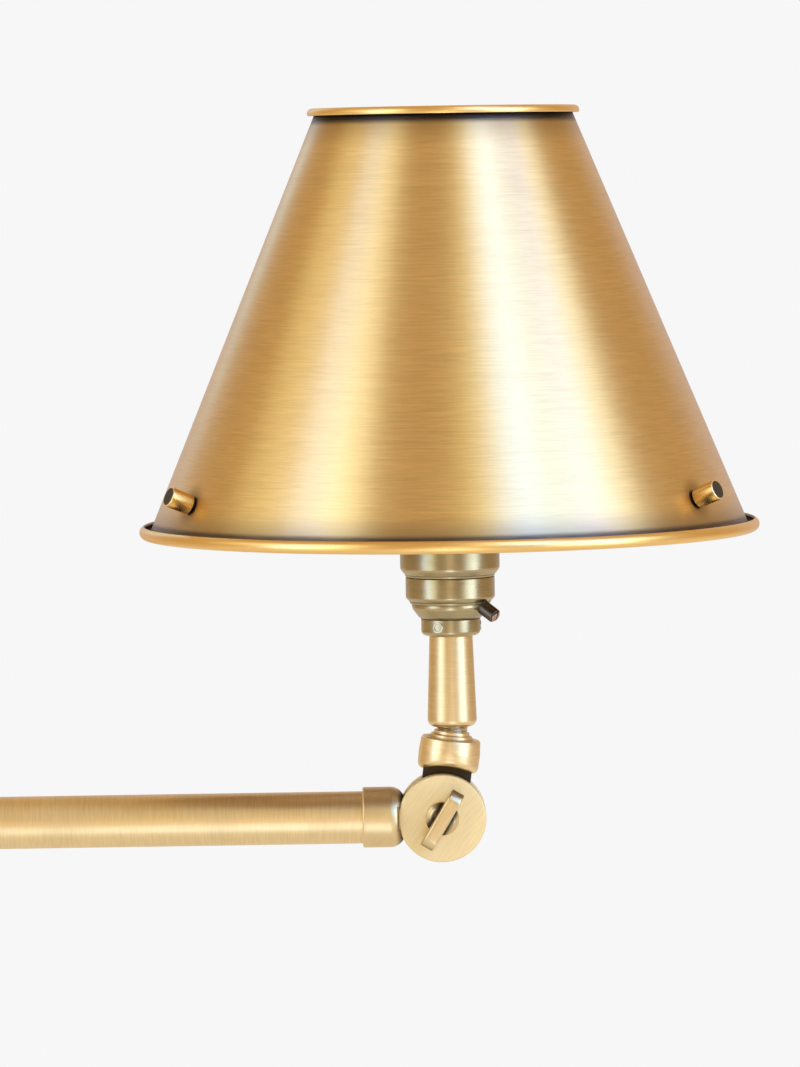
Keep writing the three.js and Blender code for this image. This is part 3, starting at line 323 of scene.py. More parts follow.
def outline(*corners, steps=7):
    """A run of (across, along) corners with some of them rounded.

    A corner is (across, along) or (across, along, fillet). A fillet is an arc that touches both
    sides of its corner: it starts and ends fillet / tan(half the corner's angle) from the corner,
    about a centre on the angle's bisector. Returns rows of (across, along, wear), where wear is
    positive on fillets that stand proud, where hands polish them, and negative in hollows, where
    patina lies. Other pieces put painted highlights and painted shade into the same number.
    """
    spots = np.array([corner[:2] for corner in corners], float)
    rows = []
    for i, corner in enumerate(corners):
        size = corner[2] if len(corner) > 2 else 0
        if not size or i in (0, len(corners) - 1):
            rows.append((*spots[i], 0.0))
            continue
        before, after = spots[i - 1] - spots[i], spots[i + 1] - spots[i]
        lengths = np.hypot(*before), np.hypot(*after)
        before, after = before / lengths[0], after / lengths[1]
        half = math.acos(np.clip(before @ after, -1, 1)) / 2
        # a neighbour with a fillet of its own leaves half of the side between them
        near, far = (0.49 if len(corners[j]) > 2 else 0.97 for j in (i - 1, i + 1))
        reach = min(size / math.tan(half), near * lengths[0], far * lengths[1])
        radius = reach * math.tan(half)
        bisector = (before + after) / np.hypot(*(before + after))
        centre = spots[i] + bisector * radius / math.sin(half)
        first = spots[i] + before * reach - centre
        last = spots[i] + after * reach - centre
        turn = math.atan2(first[0] * last[1] - first[1] * last[0], first @ last)
        proud = 1.0 if turn > 0 else -1.0
        for t in np.linspace(0, 1, steps):
            c, s = math.cos(turn * t), math.sin(turn * t)
            x = centre[0] + c * first[0] - s * first[1]
            y = centre[1] + s * first[0] + c * first[1]
            rows.append((x, y, proud * math.sin(math.pi * t)))
    return np.array(rows)


def arc(across, along, size, start, end, steps, wear_and_painted_light=0.0):
    """Rows of (across, along, wear) on an arc about a centre, angles in radians."""
    angles = np.linspace(start, end, steps)
    return np.column_stack(
        (across + size * np.cos(angles), along + size * np.sin(angles), np.full(steps, wear_and_painted_light))
    )


def straight(start, end, steps):
    """Rows of (across, along, wear) on a straight line."""
    t = np.linspace(0, 1, steps)[:, None]
    points = np.array(start) * (1 - t) + np.array(end) * t
    return np.column_stack((points, np.zeros(steps)))


# ---------------------------------------------------------------- surfaces


def grid_faces(rows, columns, closed_rows, closed_columns):
    """Quads between neighbouring rows and columns of a grid, joined round where it closes."""
    r = np.arange(rows if closed_rows else rows - 1)
    c = np.arange(columns if closed_columns else columns - 1)
    r, c = np.meshgrid(r, c, indexing="ij")
    r1, c1 = (r + 1) % rows, (c + 1) % columns
    quads = np.stack((r * columns + c, r * columns + c1, r1 * columns + c1, r1 * columns + c), -1)
    return quads.reshape(-1, 4)


def turned(rows, sides=TURNED_SIDES, closed=None):
    """A profile turned about +Z: (r cos a, r sin a, h) for every row's radius r and height h.

    It closes on itself where it starts off the axis, and ends in two poles where it starts on it.
    """
    closed = rows[0, 0] > 1e-9 if closed is None else closed
    angle = np.linspace(0, FULL, sides, endpoint=False)
    radius, height, wear_and_painted_light = (rows[:, i, None] for i in range(3))
    points = np.stack(
        (radius * np.cos(angle), radius * np.sin(angle), np.repeat(height, sides, 1)), -1
    ).reshape(-1, 3)
    return points, grid_faces(len(rows), sides, closed, True), np.repeat(wear_and_painted_light[:, 0], sides)


def plate(edge, half, ease, steps=5):
    """A flat plate of a rounded outline, from -half to +half along Z, with its edges eased.

    edge(inset) gives the outline's points drawn in by inset. The eased edge is a quarter ellipse:
    at angle a the outline is drawn in by ease (1 - cos a) and lies at half - ease (1 - sin a).
    """
    angles = np.linspace(0, math.pi / 2, steps)
    upper = [(ease * (1 - math.cos(a)), half - ease * (1 - math.sin(a))) for a in angles]
    levels = [(inset, -z) for inset, z in reversed(upper)] + upper
    rings = [edge(inset) for inset, _ in levels]
    count = len(rings[0])
    points = np.concatenate(
        [np.column_stack((ring, np.full(count, z))) for ring, (_, z) in zip(rings, levels)]
    )
    faces = grid_faces(len(levels), count, False, True).tolist()
    first = list(range(count))
    last = [(len(levels) - 1) * count + i for i in first]
    wear_and_painted_light = np.concatenate([np.full(count, math.sin(math.pi * min(i, ease) / ease)) for i, _ in levels])
    return points, faces + [first[::-1], last], wear_and_painted_light


def carried(path, radius, sides=24):
    """A round bar carried along a path: each point's ring lies across the path's direction there."""
    path = np.array(path, float)
    ahead = np.gradient(path, axis=0)
    ahead /= np.linalg.norm(ahead, axis=1)[:, None]
    side = np.cross(ahead, (0.0, 0.0, 1.0))
    side /= np.linalg.norm(side, axis=1)[:, None]
    up = np.cross(side, ahead)
    angle = np.linspace(0, FULL, sides, endpoint=False)[None, :, None]
    rings = path[:, None] + radius * (np.cos(angle) * side[:, None] + np.sin(angle) * up[:, None])
    faces = grid_faces(len(path), sides, False, True).tolist()
    first = list(range(sides))
    last = [(len(path) - 1) * sides + i for i in first]
    return rings.reshape(-1, 3), faces + [first[::-1], last], np.zeros(len(path) * sides)


def moved(surface, place):
    """A surface with its points carried by a matrix."""
    points, faces, wear_and_painted_light = surface
    matrix = np.array(place)
    return points @ matrix[:3, :3].T + matrix[:3, 3], faces, wear_and_painted_light


# ---------------------------------------------------------------- pieces


def mesh_of(name, surfaces):
    """One mesh of several closed surfaces, with poles closed and faces pointing out."""
    points, faces, wear_and_painted_light, start = [], [], [], 0
    for surface_points, surface_faces, surface_wear in surfaces:
        points.append(surface_points)
        wear_and_painted_light.append(surface_wear)
        faces += [[int(i) + start for i in face] for face in surface_faces]
        start += len(surface_points)
    mesh = bpy.data.meshes.new(name)
    mesh.from_pydata(np.concatenate(points), [], faces)
    # the per-point mark holds real wear and patina, and also painted highlights and painted shade
    mesh.attributes.new("wear_and_painted_light", "FLOAT", "POINT").data.foreach_set("value", np.concatenate(wear_and_painted_light))
    edit = bmesh.new()
    edit.from_mesh(mesh)
    bmesh.ops.remove_doubles(edit, verts=edit.verts, dist=1e-7)
    bmesh.ops.recalc_face_normals(edit, faces=edit.faces)
    edit.to_mesh(mesh)
    edit.free()
    mesh.shade_smooth()
    mesh.set_sharp_from_angle(angle=math.radians(32))
    return mesh


def piece(name, surfaces, material, body, slot, *nodes):
    """A finished object made of closed surfaces, riding on a body in place of its parts."""
    obj = bpy.data.objects.new(name, mesh_of(name, surfaces))
    bpy.context.scene.collection.objects.link(obj)
    obj.data.materials.append(material)
    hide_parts(*nodes)
    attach(obj, body)
    return obj


def slotted(surface, place, width, depth, name):
    """The surface of a screw with a driver's slot cut across its end, by a thin box."""
    screw = bpy.data.objects.new(name + "_blank", mesh_of(name + "_blank", [surface]))
    reach = 20 * MM
    top = surface[0][:, 2].max()
    box_points = np.array(
        [
            (x * reach, y * width / 2, top + (z - 1) * depth + 0.1 * depth * z)
            for x in (-1, 1) for y in (-1, 1) for z in (0, 2)
        ]
    )
    box_faces = [(0, 1, 3, 2), (4, 6, 7, 5), (0, 4, 5, 1), (2, 3, 7, 6), (0, 2, 6, 4), (1, 5, 7, 3)]
    box = box_points, box_faces, np.zeros(len(box_points))
    blade = bpy.data.objects.new(name + "_blade", mesh_of(name + "_blade", [box]))
    for obj in (screw, blade):
        bpy.context.scene.collection.objects.link(obj)
    slot_cut = screw.modifiers.new("slot", "BOOLEAN")
    slot_cut.operation = "DIFFERENCE"
    slot_cut.object = blade
    result = screw.evaluated_get(bpy.context.evaluated_depsgraph_get()).to_mesh()
    points = np.array([v.co for v in result.vertices])
    faces = [list(p.vertices) for p in result.polygons]
    for obj in (screw, blade):
        bpy.data.objects.remove(obj, do_unlink=True)
    return moved((points, faces, np.zeros(len(points))), place)


# ---------------------------------------------------------------- shader maths


class Signal:
    """A number on a shader socket. Arithmetic on it adds Math nodes."""

    def __init__(self, shader, socket):
        self.shader = shader
        self.socket = socket

    def _math(self, operation, first, second):
        node = self.shader.node("ShaderNodeMath", {"operation": operation}, {0: first, 1: second})
        return Signal(self.shader, node.outputs[0])

    def __add__(self, other):
        return self._math("ADD", self, other)

    def __radd__(self, other):
        return self._math("ADD", other, self)

    def __sub__(self, other):
        return self._math("SUBTRACT", self, other)

    def __rsub__(self, other):
        return self._math("SUBTRACT", other, self)

    def __mul__(self, other):
        return self._math("MULTIPLY", self, other)

    def __rmul__(self, other):
        return self._math("MULTIPLY", other, self)

    def __truediv__(self, other):
        return self._math("DIVIDE", self, other)

    def __abs__(self):
        return self._math("ABSOLUTE", self, 0.0)

    def above(self, other):
        return self._math("MAXIMUM", self, other)

    def below(self, other):
        return self._math("MINIMUM", self, other)

    def between(self, low, high):
        """0 at low, 1 at high, and held at 0 and 1 outside; eased at both ends."""
        node = self.shader.node(
            "ShaderNodeMapRange", {"interpolation_type": "SMOOTHSTEP"},
            {"Value": self, "From Min": low, "From Max": high, "To Min": 0.0, "To Max": 1.0},
        )
        return Signal(self.shader, node.outputs["Result"])


class Shader:
    """A material under construction."""

    def __init__(self, name):
        self.material = bpy.data.materials.new(name)
        self.material.use_nodes = True
        self.tree = self.material.node_tree
        self.surface = self.tree.nodes["Principled BSDF"]

    def node(self, kind, settings=None, inputs=None):
        """Adds a node, sets its settings, then gives its sockets their values or links."""
        made = self.tree.nodes.new(kind)
        for key, value in (settings or {}).items():
            setattr(made, key, value)
        for key, value in (inputs or {}).items():
            self.feed(made.inputs[key], value)
        return made

    def feed(self, socket, value):
        if isinstance(value, Signal):
            value = value.socket
        if isinstance(value, bpy.types.NodeSocket):
            self.tree.links.new(value, socket)
        else:
            socket.default_value = value

    def set(self, **inputs):
        """Gives the surface's own sockets their values or links; an underscore stands for a space."""
        for key, value in inputs.items():
            self.feed(self.surface.inputs[key.replace("_", " ")], value)

    def position(self):
        return self.node("ShaderNodeTexCoord").outputs["Object"]

    def attribute(self, name):
        return Signal(self, self.node("ShaderNodeAttribute", {"attribute_name": name}).outputs["Fac"])

    def vector(self, operation, first, second):
        """A Vector Math node on two vectors; a dot product gives a number."""
        made = self.node("ShaderNodeVectorMath", {"operation": operation}, {0: first, 1: second})
        if operation == "DOT_PRODUCT":
            return Signal(self, made.outputs["Value"])
        return made.outputs["Vector"]

    def scaled(self, vector, number):
        made = self.node("ShaderNodeVectorMath", {"operation": "SCALE"}, {0: vector, "Scale": number})
        return made.outputs["Vector"]

    def noise(self, vector, scale, detail=3.0, roughness=0.55):
        made = self.node(
            "ShaderNodeTexNoise", None,
            {"Vector": vector, "Scale": scale, "Detail": detail, "Roughness": roughness},
        )
        return Signal(self, made.outputs["Fac"])

    def mix(self, amount, first, second):
        """One colour changing into another."""
        made = self.node(
            "ShaderNodeMix", {"data_type": "RGBA"},
            {"Factor": amount, 6: self.colour(first), 7: self.colour(second)},
        )
        return made.outputs[2]

    @staticmethod
    def colour(value):
        """A plain colour gets its alpha; a link stays as it is."""
        return value if isinstance(value, bpy.types.NodeSocket) else (*value[:3], 1.0)

    def bump(self, height, strength, distance):
        made = self.node(
            "ShaderNodeBump", None, {"Height": height, "Strength": strength, "Distance": distance}
        )
        return made.outputs["Normal"]

    def brush_lines(self, across, fine=3000.0, slow=110.0):
        """Long thin streaks: noise on a position stretched along one direction.

        The position p becomes slow p + fine (p . across) across, so the noise changes fast along
        across and slowly along the brush.
        """
        position = self.position()
        along = self.vector("DOT_PRODUCT", position, tuple(across))
        direction = self.vector("MULTIPLY", (1, 1, 1), tuple(across))
        stretched = self.vector(
            "ADD", self.scaled(position, slow), self.scaled(direction, along * fine)
        )
        return self.noise(stretched, 1.0, detail=4.0, roughness=0.6)


def brushed(
    name, colour, across, roughness=0.33, worn_and_lit=(0.95, 0.80, 0.52), shine=0.35, soften=-0.06,
    depth=1.0, mottle=0.5, painted_shade_side=None,
):
    """Brushed brass: brush lines that run square to one direction, dull patches, worn edges and painted light.

    Worn metal takes a share, shine, of the pale worn colour, and soften is added to its roughness;
    faces marked as painted highlight take it too. Hollows, and places marked as painted shade, take
    the patina colour. The last argument is a point and a vector: the colour is painted darker from
    one side of the point to the other, as painted shade.
    """
    finish = bpy.context.scene.wall_light_finish
    shader = Shader(name)
    lines = shader.brush_lines(across)
    patches = shader.noise(shader.position(), 55.0, detail=3.0)
    wear_and_painted_light = shader.attribute("wear_and_painted_light")
    polished_and_lit = wear_and_painted_light.between(0.1, 0.9)
    hollows_and_shade = (0.0 - wear_and_painted_light).between(0.1, 0.9)
    darker = tuple(c * 0.84 for c in colour)
    tone = shader.mix(lines.between(0.25, 0.70), darker, tuple(colour))
    tone = shader.mix(patches.between(0.45, 0.75) * (0.35 * mottle), tone, tuple(c * 0.62 for c in colour))
    bright = shader.mix(lines.between(0.3, 0.7), tuple(c * 0.86 for c in worn_and_lit), worn_and_lit)
    # polished edges take the pale worn colour, and so do faces marked as painted highlight
    tone = shader.mix(polished_and_lit * shine, tone, bright)
    # painted shade: the colour is darker from one side of the given point to the other
    if painted_shade_side:
        start, towards = painted_shade_side
        offset = shader.vector("SUBTRACT", shader.position(), tuple(start))
        run = shader.vector("DOT_PRODUCT", offset, tuple(towards))
        tone = shader.mix(run.between(-0.8, 1.2) * 0.35, tone, tuple(c * 0.72 for c in colour))
    # hollows take the patina colour, and so do places marked as painted shade
    tone = shader.mix(hollows_and_shade * 0.97, tone, tuple(finish.patina_and_shade))
    uneven = (lines - 0.5) * 0.12 + (patches - 0.5) * 0.12
    shader.set(
        Base_Color=tone,
        Metallic=1.0,
        Roughness=roughness + uneven + hollows_and_shade * 0.08 + polished_and_lit * soften,
        Normal=shader.bump(lines, finish.brushing * depth, 0.00012),
    )
    return shader.material


def plated(name, colour, roughness, speck=0.4):
    """Plain or plated metal with small stains and an uneven shine."""
    shader = Shader(name)
    stains = shader.noise(shader.position(), 420.0, detail=4.0)
    clouds = shader.noise(shader.position(), 70.0)
    wear_and_painted_light = shader.attribute("wear_and_painted_light")
    darkened = tuple(c * 0.45 for c in colour)
    tone = shader.mix(stains.between(0.52, 0.72) * speck, tuple(colour), darkened)
    tone = shader.mix(wear_and_painted_light.between(0.1, 0.9) * 0.4, tone, tuple(min(1.0, c * 1.35) for c in colour))
    shader.set(
        Base_Color=tone,
        Metallic=1.0,
        Roughness=roughness + (clouds - 0.5) * 0.2 + stains.between(0.5, 0.8) * 0.15,
        Normal=shader.bump(stains, 0.08, 0.0002),
    )
    return shader.material


def moulded(name, colour, roughness, coat=0.0, bump=0.03):
    """Porcelain, plastic or rubber with a faint unevenness."""
    shader = Shader(name)
    cast = shader.noise(shader.position(), 160.0, detail=4.0)
    shader.set(
        Base_Color=shader.mix(cast.between(0.35, 0.7), tuple(colour), tuple(c * 0.9 for c in colour)),
        Roughness=roughness + (cast - 0.5) * 0.12,
        Coat_Weight=coat,
        Normal=shader.bump(cast, bump, 0.0003),
    )
    return shader.material


def shade_metal():
    """The shade's brass: brush lines round the cone, dark bands under the rims, partly painted shade, brighter
    curls.
    """
    finish = bpy.context.scene.wall_light_finish
    shade = bpy.context.scene.wall_light_shade
    shader = Shader("shade_metal")
    position = shader.position()
    lines = shader.brush_lines((0, 0, 1), fine=2100.0, slow=75.0)
    broad = shader.brush_lines((0, 0, 1), fine=420.0, slow=22.0)
    patches = shader.noise(position, 16.0, detail=2.0)
    curl = shader.attribute("curl")
    knob_halo = shader.attribute("knob_halo")
    height = shader.vector("DOT_PRODUCT", position, (0, 0, 1))
    bottom = shade.lift + HEAD_PIVOT.z
    top = bottom + shade.height
    # a thin dark line at each rim, painted shade and patina where a curl meets the wall, and a tint that reaches
    # further along the wall
    low_line = 1.0 - height.between(bottom + 2.7 * MM, bottom + 4.6 * MM)
    low_tint = 1.0 - height.between(bottom + 2.5 * MM, bottom + 13 * MM)
    high_line = height.between(top - 5.2 * MM, top - 2.5 * MM)
    high_tint = height.between(top - 15 * MM, top - 2.5 * MM)
    patina_and_shade = (low_line * 0.78).above(high_line * 0.95)
    off_curl = 1.0 - curl
    gold = tuple(finish.shade)
    tone = shader.mix(lines.between(0.28, 0.70), tuple(c * 0.84 for c in gold), gold)
    tone = shader.mix(broad.between(0.45, 0.72) * 0.16, tone, tuple(c * 0.72 for c in gold))
    tone = shader.mix(patches.between(0.40, 0.75) * 0.2, tone, (0.74, 0.52, 0.26))
    tone = shader.mix(curl * 0.9, tone, tuple(finish.rim))
    tone = shader.mix((high_tint * (0.25 + lines * 0.5) * off_curl).below(1.0), tone, (0.22, 0.125, 0.055))
    tone = shader.mix((low_tint * (0.30 + lines * 0.5) * off_curl).below(1.0), tone, (0.19, 0.15, 0.14))
    tone = shader.mix((patina_and_shade * (0.70 + lines * 0.6) * off_curl).below(0.96), tone, (0.040, 0.032, 0.034))
    # a darker brown ring round the foot of each knob
    tone = shader.mix(knob_halo * 0.7, tone, (0.20, 0.11, 0.055))
    # the curls' inner faces are painted near-black: painted shade in the rolls
    tone = shader.mix(shader.attribute("groove"), tone, (0.012, 0.010, 0.009))
    satin = 0.35 + (lines - 0.5) * 0.12 + (broad - 0.5) * 0.06
    shader.set(
        Base_Color=tone,
        Metallic=1.0,
        Roughness=satin * (1.0 - curl * 0.18) + patina_and_shade * 0.10,
        Normal=shader.bump(lines, finish.brushing * (1.0 - curl * 0.9), 0.00016),
        Anisotropic=0.55,
        Anisotropic_Rotation=0.25,
    )
    return shader.material


def knob_metal():
    """Turned brass sides with a blackened flat end, told apart by the piece's own attribute."""
    finish = bpy.context.scene.wall_light_finish
    shader = Shader("knob_metal")
    stains = shader.noise(shader.position(), 600.0, detail=4.0)
    end = shader.attribute("end")
    sides = shader.mix(stains.between(0.35, 0.75) * 0.2, (0.86, 0.57, 0.21), (0.55, 0.33, 0.11))
    sides = shader.mix(shader.attribute("wear_and_painted_light").between(0.3, 0.9) * 0.8, sides, (0.97, 0.86, 0.62))
    sides = shader.mix(shader.attribute("foot"), sides, tuple(finish.patina_and_shade))
    shader.set(
        Base_Color=shader.mix(end, sides, (0.085, 0.075, 0.062)),
        Metallic=1.0,
        Roughness=0.27 + stains.between(0.4, 0.8) * 0.06 + end * 0.25,
        Normal=shader.bump(stains, 0.012, 0.0002),
    )
    return shader.material


def opal():
    """White bulb glass."""
    shader = Shader("opal")
    cast = shader.noise(shader.position(), 60.0)
    shader.set(
        Base_Color=shader.mix(cast.between(0.3, 0.7), (0.90, 0.89, 0.86), (0.82, 0.81, 0.78)),
        Roughness=0.16 + (cast - 0.5) * 0.05,
        Coat_Weight=0.6,
        Normal=shader.bump(cast, 0.01, 0.0003),
    )
    return shader.material


# ---------------------------------------------------------------- operators


class WALLLIGHT_OT_stage(bpy.types.Operator):
    """Sets the camera, the lights, the backdrop and the floor"""

    bl_idname = "wall_light.stage"
    bl_label = "Stage"

    def execute(self, context):
        stage = context.scene.wall_light_stage
        self.camera(context, stage)
        self.backdrop(context, stage)
        self.lights(context, stage)
        self.floor(context, stage)
        return {"FINISHED"}

    @staticmethod
    def camera(context, stage):
        data = bpy.data.cameras.new("camera")
        data.lens = stage.lens
        data.sensor_width = 36
        data.clip_end = 60
        obj = bpy.data.objects.new("camera", data)
        context.scene.collection.objects.link(obj)
        rise = stage.aim_z + math.tan(stage.pitch) * stage.distance
        place = Matrix.Translation(HEAD_PIVOT + Vector((-stage.aim_x, -stage.distance, rise)))
        look = Matrix.Rotation(math.pi / 2 - stage.pitch, 4, "X")
        obj.matrix_world = place @ look @ Matrix.Rotation(stage.roll, 4, "Z")
        context.scene.camera = obj

    @staticmethod
    def backdrop(context, stage):
        """A pale backdrop, and a dimmer room for the metal to reflect."""
        world = bpy.data.worlds.new("studio")
        world.use_nodes = True
        context.scene.world = world
        context.scene.view_settings.view_transform = "Standard"
        nodes, links = world.node_tree.nodes, world.node_tree.links
        seen = nodes["Background"]
        seen.inputs["Color"].default_value = (stage.backdrop, stage.backdrop, stage.backdrop, 1)
        seen.inputs["Strength"].default_value = 1.0
        # what the metal reflects: a warm room, the backdrop's grey behind and the pale floor below
        split = nodes.new("ShaderNodeSeparateXYZ")
        links.new(nodes.new("ShaderNodeTexCoord").outputs["Generated"], split.inputs[0])
        reflected = None
        for axis, low, high, colour in (("Y", 0.5, 0.95, stage.behind), ("Z", -0.05, -0.55, stage.below)):
            share = nodes.new("ShaderNodeMapRange")
            share.interpolation_type = "SMOOTHSTEP"
            share.inputs["From Min"].default_value = low
            share.inputs["From Max"].default_value = high
            links.new(split.outputs[axis], share.inputs["Value"])
            colours = nodes.new("ShaderNodeMix")
            colours.data_type = "RGBA"
            if reflected:
                links.new(reflected, colours.inputs[6])
            else:
                colours.inputs[6].default_value = (*stage.room, 1)
            colours.inputs[7].default_value = (*colour, 1)
            links.new(share.outputs["Result"], colours.inputs["Factor"])
            reflected = colours.outputs[2]
        room = nodes.new("ShaderNodeBackground")
        links.new(reflected, room.inputs["Color"])
        room.inputs["Strength"].default_value = 1.0
        path = nodes.new("ShaderNodeLightPath")
        mix = nodes.new("ShaderNodeMixShader")
        links.new(path.outputs["Is Camera Ray"], mix.inputs[0])
        links.new(room.outputs[0], mix.inputs[1])
        links.new(seen.outputs[0], mix.inputs[2])
        links.new(mix.outputs[0], nodes["World Output"].inputs["Surface"])

    @staticmethod
    def lights(context, stage):
        """Soft boxes on a sphere round the head, all turned towards it."""
        aim = HEAD_PIVOT + Vector((0, 0, stage.boxes_above))
        for i, (azimuth, elevation, power) in enumerate(BOXES):
            data = bpy.data.lights.new(f"box_{i + 1}", "AREA")
            data.shape = "RECTANGLE"
            data.size = 2 * stage.boxes_away * math.tan(math.radians(BOX_WIDTH / 2))
            data.size_y = 2 * stage.boxes_away * math.tan(math.radians(BOX_HEIGHT / 2))
            data.energy = max(power)
            data.color = [part / max(power) for part in power]
            obj = bpy.data.objects.new(data.name, data)
            context.scene.collection.objects.link(obj)
            a, e = math.radians(azimuth), math.radians(elevation)
            away = Vector((math.sin(a) * math.cos(e), -math.cos(a) * math.cos(e), math.sin(e)))
            facing = away.to_track_quat("Z", "Y").to_matrix().to_4x4()
            obj.matrix_world = Matrix.Translation(aim + away * stage.boxes_away) @ facing
            obj.visible_camera = False

    @staticmethod
    def floor(context, stage):
        """A flat disc well below the light: rings of points out to the floor's radius."""
        rows = straight((0, 0), (stage.floor_radius, 0), 5)
        points, faces, _ = turned(rows, closed=False)
        mesh = bpy.data.meshes.new("floor")
        points = points + np.array((HEAD_PIVOT.x, HEAD_PIVOT.y, -stage.floor_drop))
        mesh.from_pydata(points, [], faces.tolist())
        obj = bpy.data.objects.new("floor", mesh)
        context.scene.collection.objects.link(obj)
        shader = Shader("floor_paint")
        grain = shader.noise(shader.position(), 3.0)
        shader.set(
            Base_Color=shader.mix(grain, (0.15, 0.19, 0.27), (0.14, 0.18, 0.26)), Roughness=0.9,
            Emission_Color=(1, 1, 1, 1), Emission_Strength=0.70,
        )
        mesh.materials.append(shader.material)
        # the metal reflects the room, not the floor
        obj.visible_glossy = False
        obj.visible_diffuse = False


class WALLLIGHT_OT_shade(bpy.types.Operator):
    """Makes the conical shade with its two rolled rims"""

    bl_idname = "wall_light.shade"
    bl_label = "Shade"

    def execute(self, context):
        shade = context.scene.wall_light_shade
        surface = turned(self.section(shade), 2 * SIDES)
        obj = piece("brass_shade", [moved(surface, UPRIGHT)], shade_metal(), "head", "shade_brass", "shade")
        self.mark(obj.data, shade)
        return {"FINISHED"}

    @staticmethod
    def section(shade):
        """The sheet's section. Its middle line is a straight slope that runs tangent into an arc
        at each rim; the sheet's faces lie half a wall to either side of it."""
        slope = math.atan2(shade.bottom_radius - shade.top_radius, shade.height)
        half = shade.wall / 2
        low, high = shade.bottom_curl - half, shade.top_curl - half
        bottom, top = shade.lift, shade.lift + shade.height
        low_r = shade.bottom_radius - half + low * math.cos(slope)
        high_r = shade.top_radius - half + high * math.cos(slope)
        start = math.pi + slope
        low_end, high_end = start + shade.curl_sweep, start - shade.curl_sweep
        steps, wall_steps = 40, 90
        parts = []
        for side in (1, -1):
            low_arc = arc(low_r, bottom, low + side * half, low_end, start, steps)
            high_arc = arc(high_r, top, high + side * half, start, high_end, steps)
            wall = straight(low_arc[-1, :2], high_arc[0, :2], wall_steps)[1:-1]
            run = np.concatenate((low_arc, wall, high_arc))
            parts.append(run if side == 1 else run[::-1])
        return np.concatenate(parts)

    @staticmethod
    def mark(mesh, shade):
        """Gives each point its share of three marks.

        curl: how far it stands outside the wall's slope. groove: whether it lies on the inner face
        of a curl, which is painted near-black as painted shade. The third mark: how near it is to the
        foot of a knob, where the wall is painted a darker brown.
        """
        points = np.empty(3 * len(mesh.vertices))
        mesh.vertices.foreach_get("co", points)
        points = points.reshape(-1, 3) - np.array(UPRIGHT.translation)
        level = (points[:, 2] - shade.lift) / shade.height
        across = np.hypot(points[:, 0], points[:, 1])
        wall = shade.bottom_radius + (shade.top_radius - shade.bottom_radius) * level
        slope = math.atan2(shade.bottom_radius - shade.top_radius, shade.height)
        groove = np.zeros(len(points))
        for radius, size, z in (
            (shade.bottom_radius, shade.bottom_curl, shade.lift),
            (shade.top_radius, shade.top_curl, shade.lift + shade.height),
        ):
            middle_r = radius - shade.wall / 2 + (size - shade.wall / 2) * math.cos(slope)
            away = np.hypot(across - middle_r, points[:, 2] - z)
            groove = np.maximum(groove, (away < size - 0.7 * shade.wall).astype(float))
        marks = {"curl": np.clip((across - wall) / (0.5 * MM), 0, 1), "groove": groove}
        foot = np.full(len(points), 1.0)
        for azimuth in KNOB_AZIMUTHS:
            turn = math.radians(azimuth - 90)
            knob = (
                KNOB_RADIUS * math.cos(turn), KNOB_RADIUS * math.sin(turn), shade.lift + KNOB_RISE
            )
            foot = np.minimum(foot, np.linalg.norm(points - knob, axis=1))
        near = np.clip((9 * MM - foot) / (5 * MM), 0, 1)
        marks["knob_halo"] = np.where(across > wall - 0.5 * shade.wall, near, 0)
        for name, values in marks.items():
            mesh.attributes.new(name, "FLOAT", "POINT").data.foreach_set("value", values)


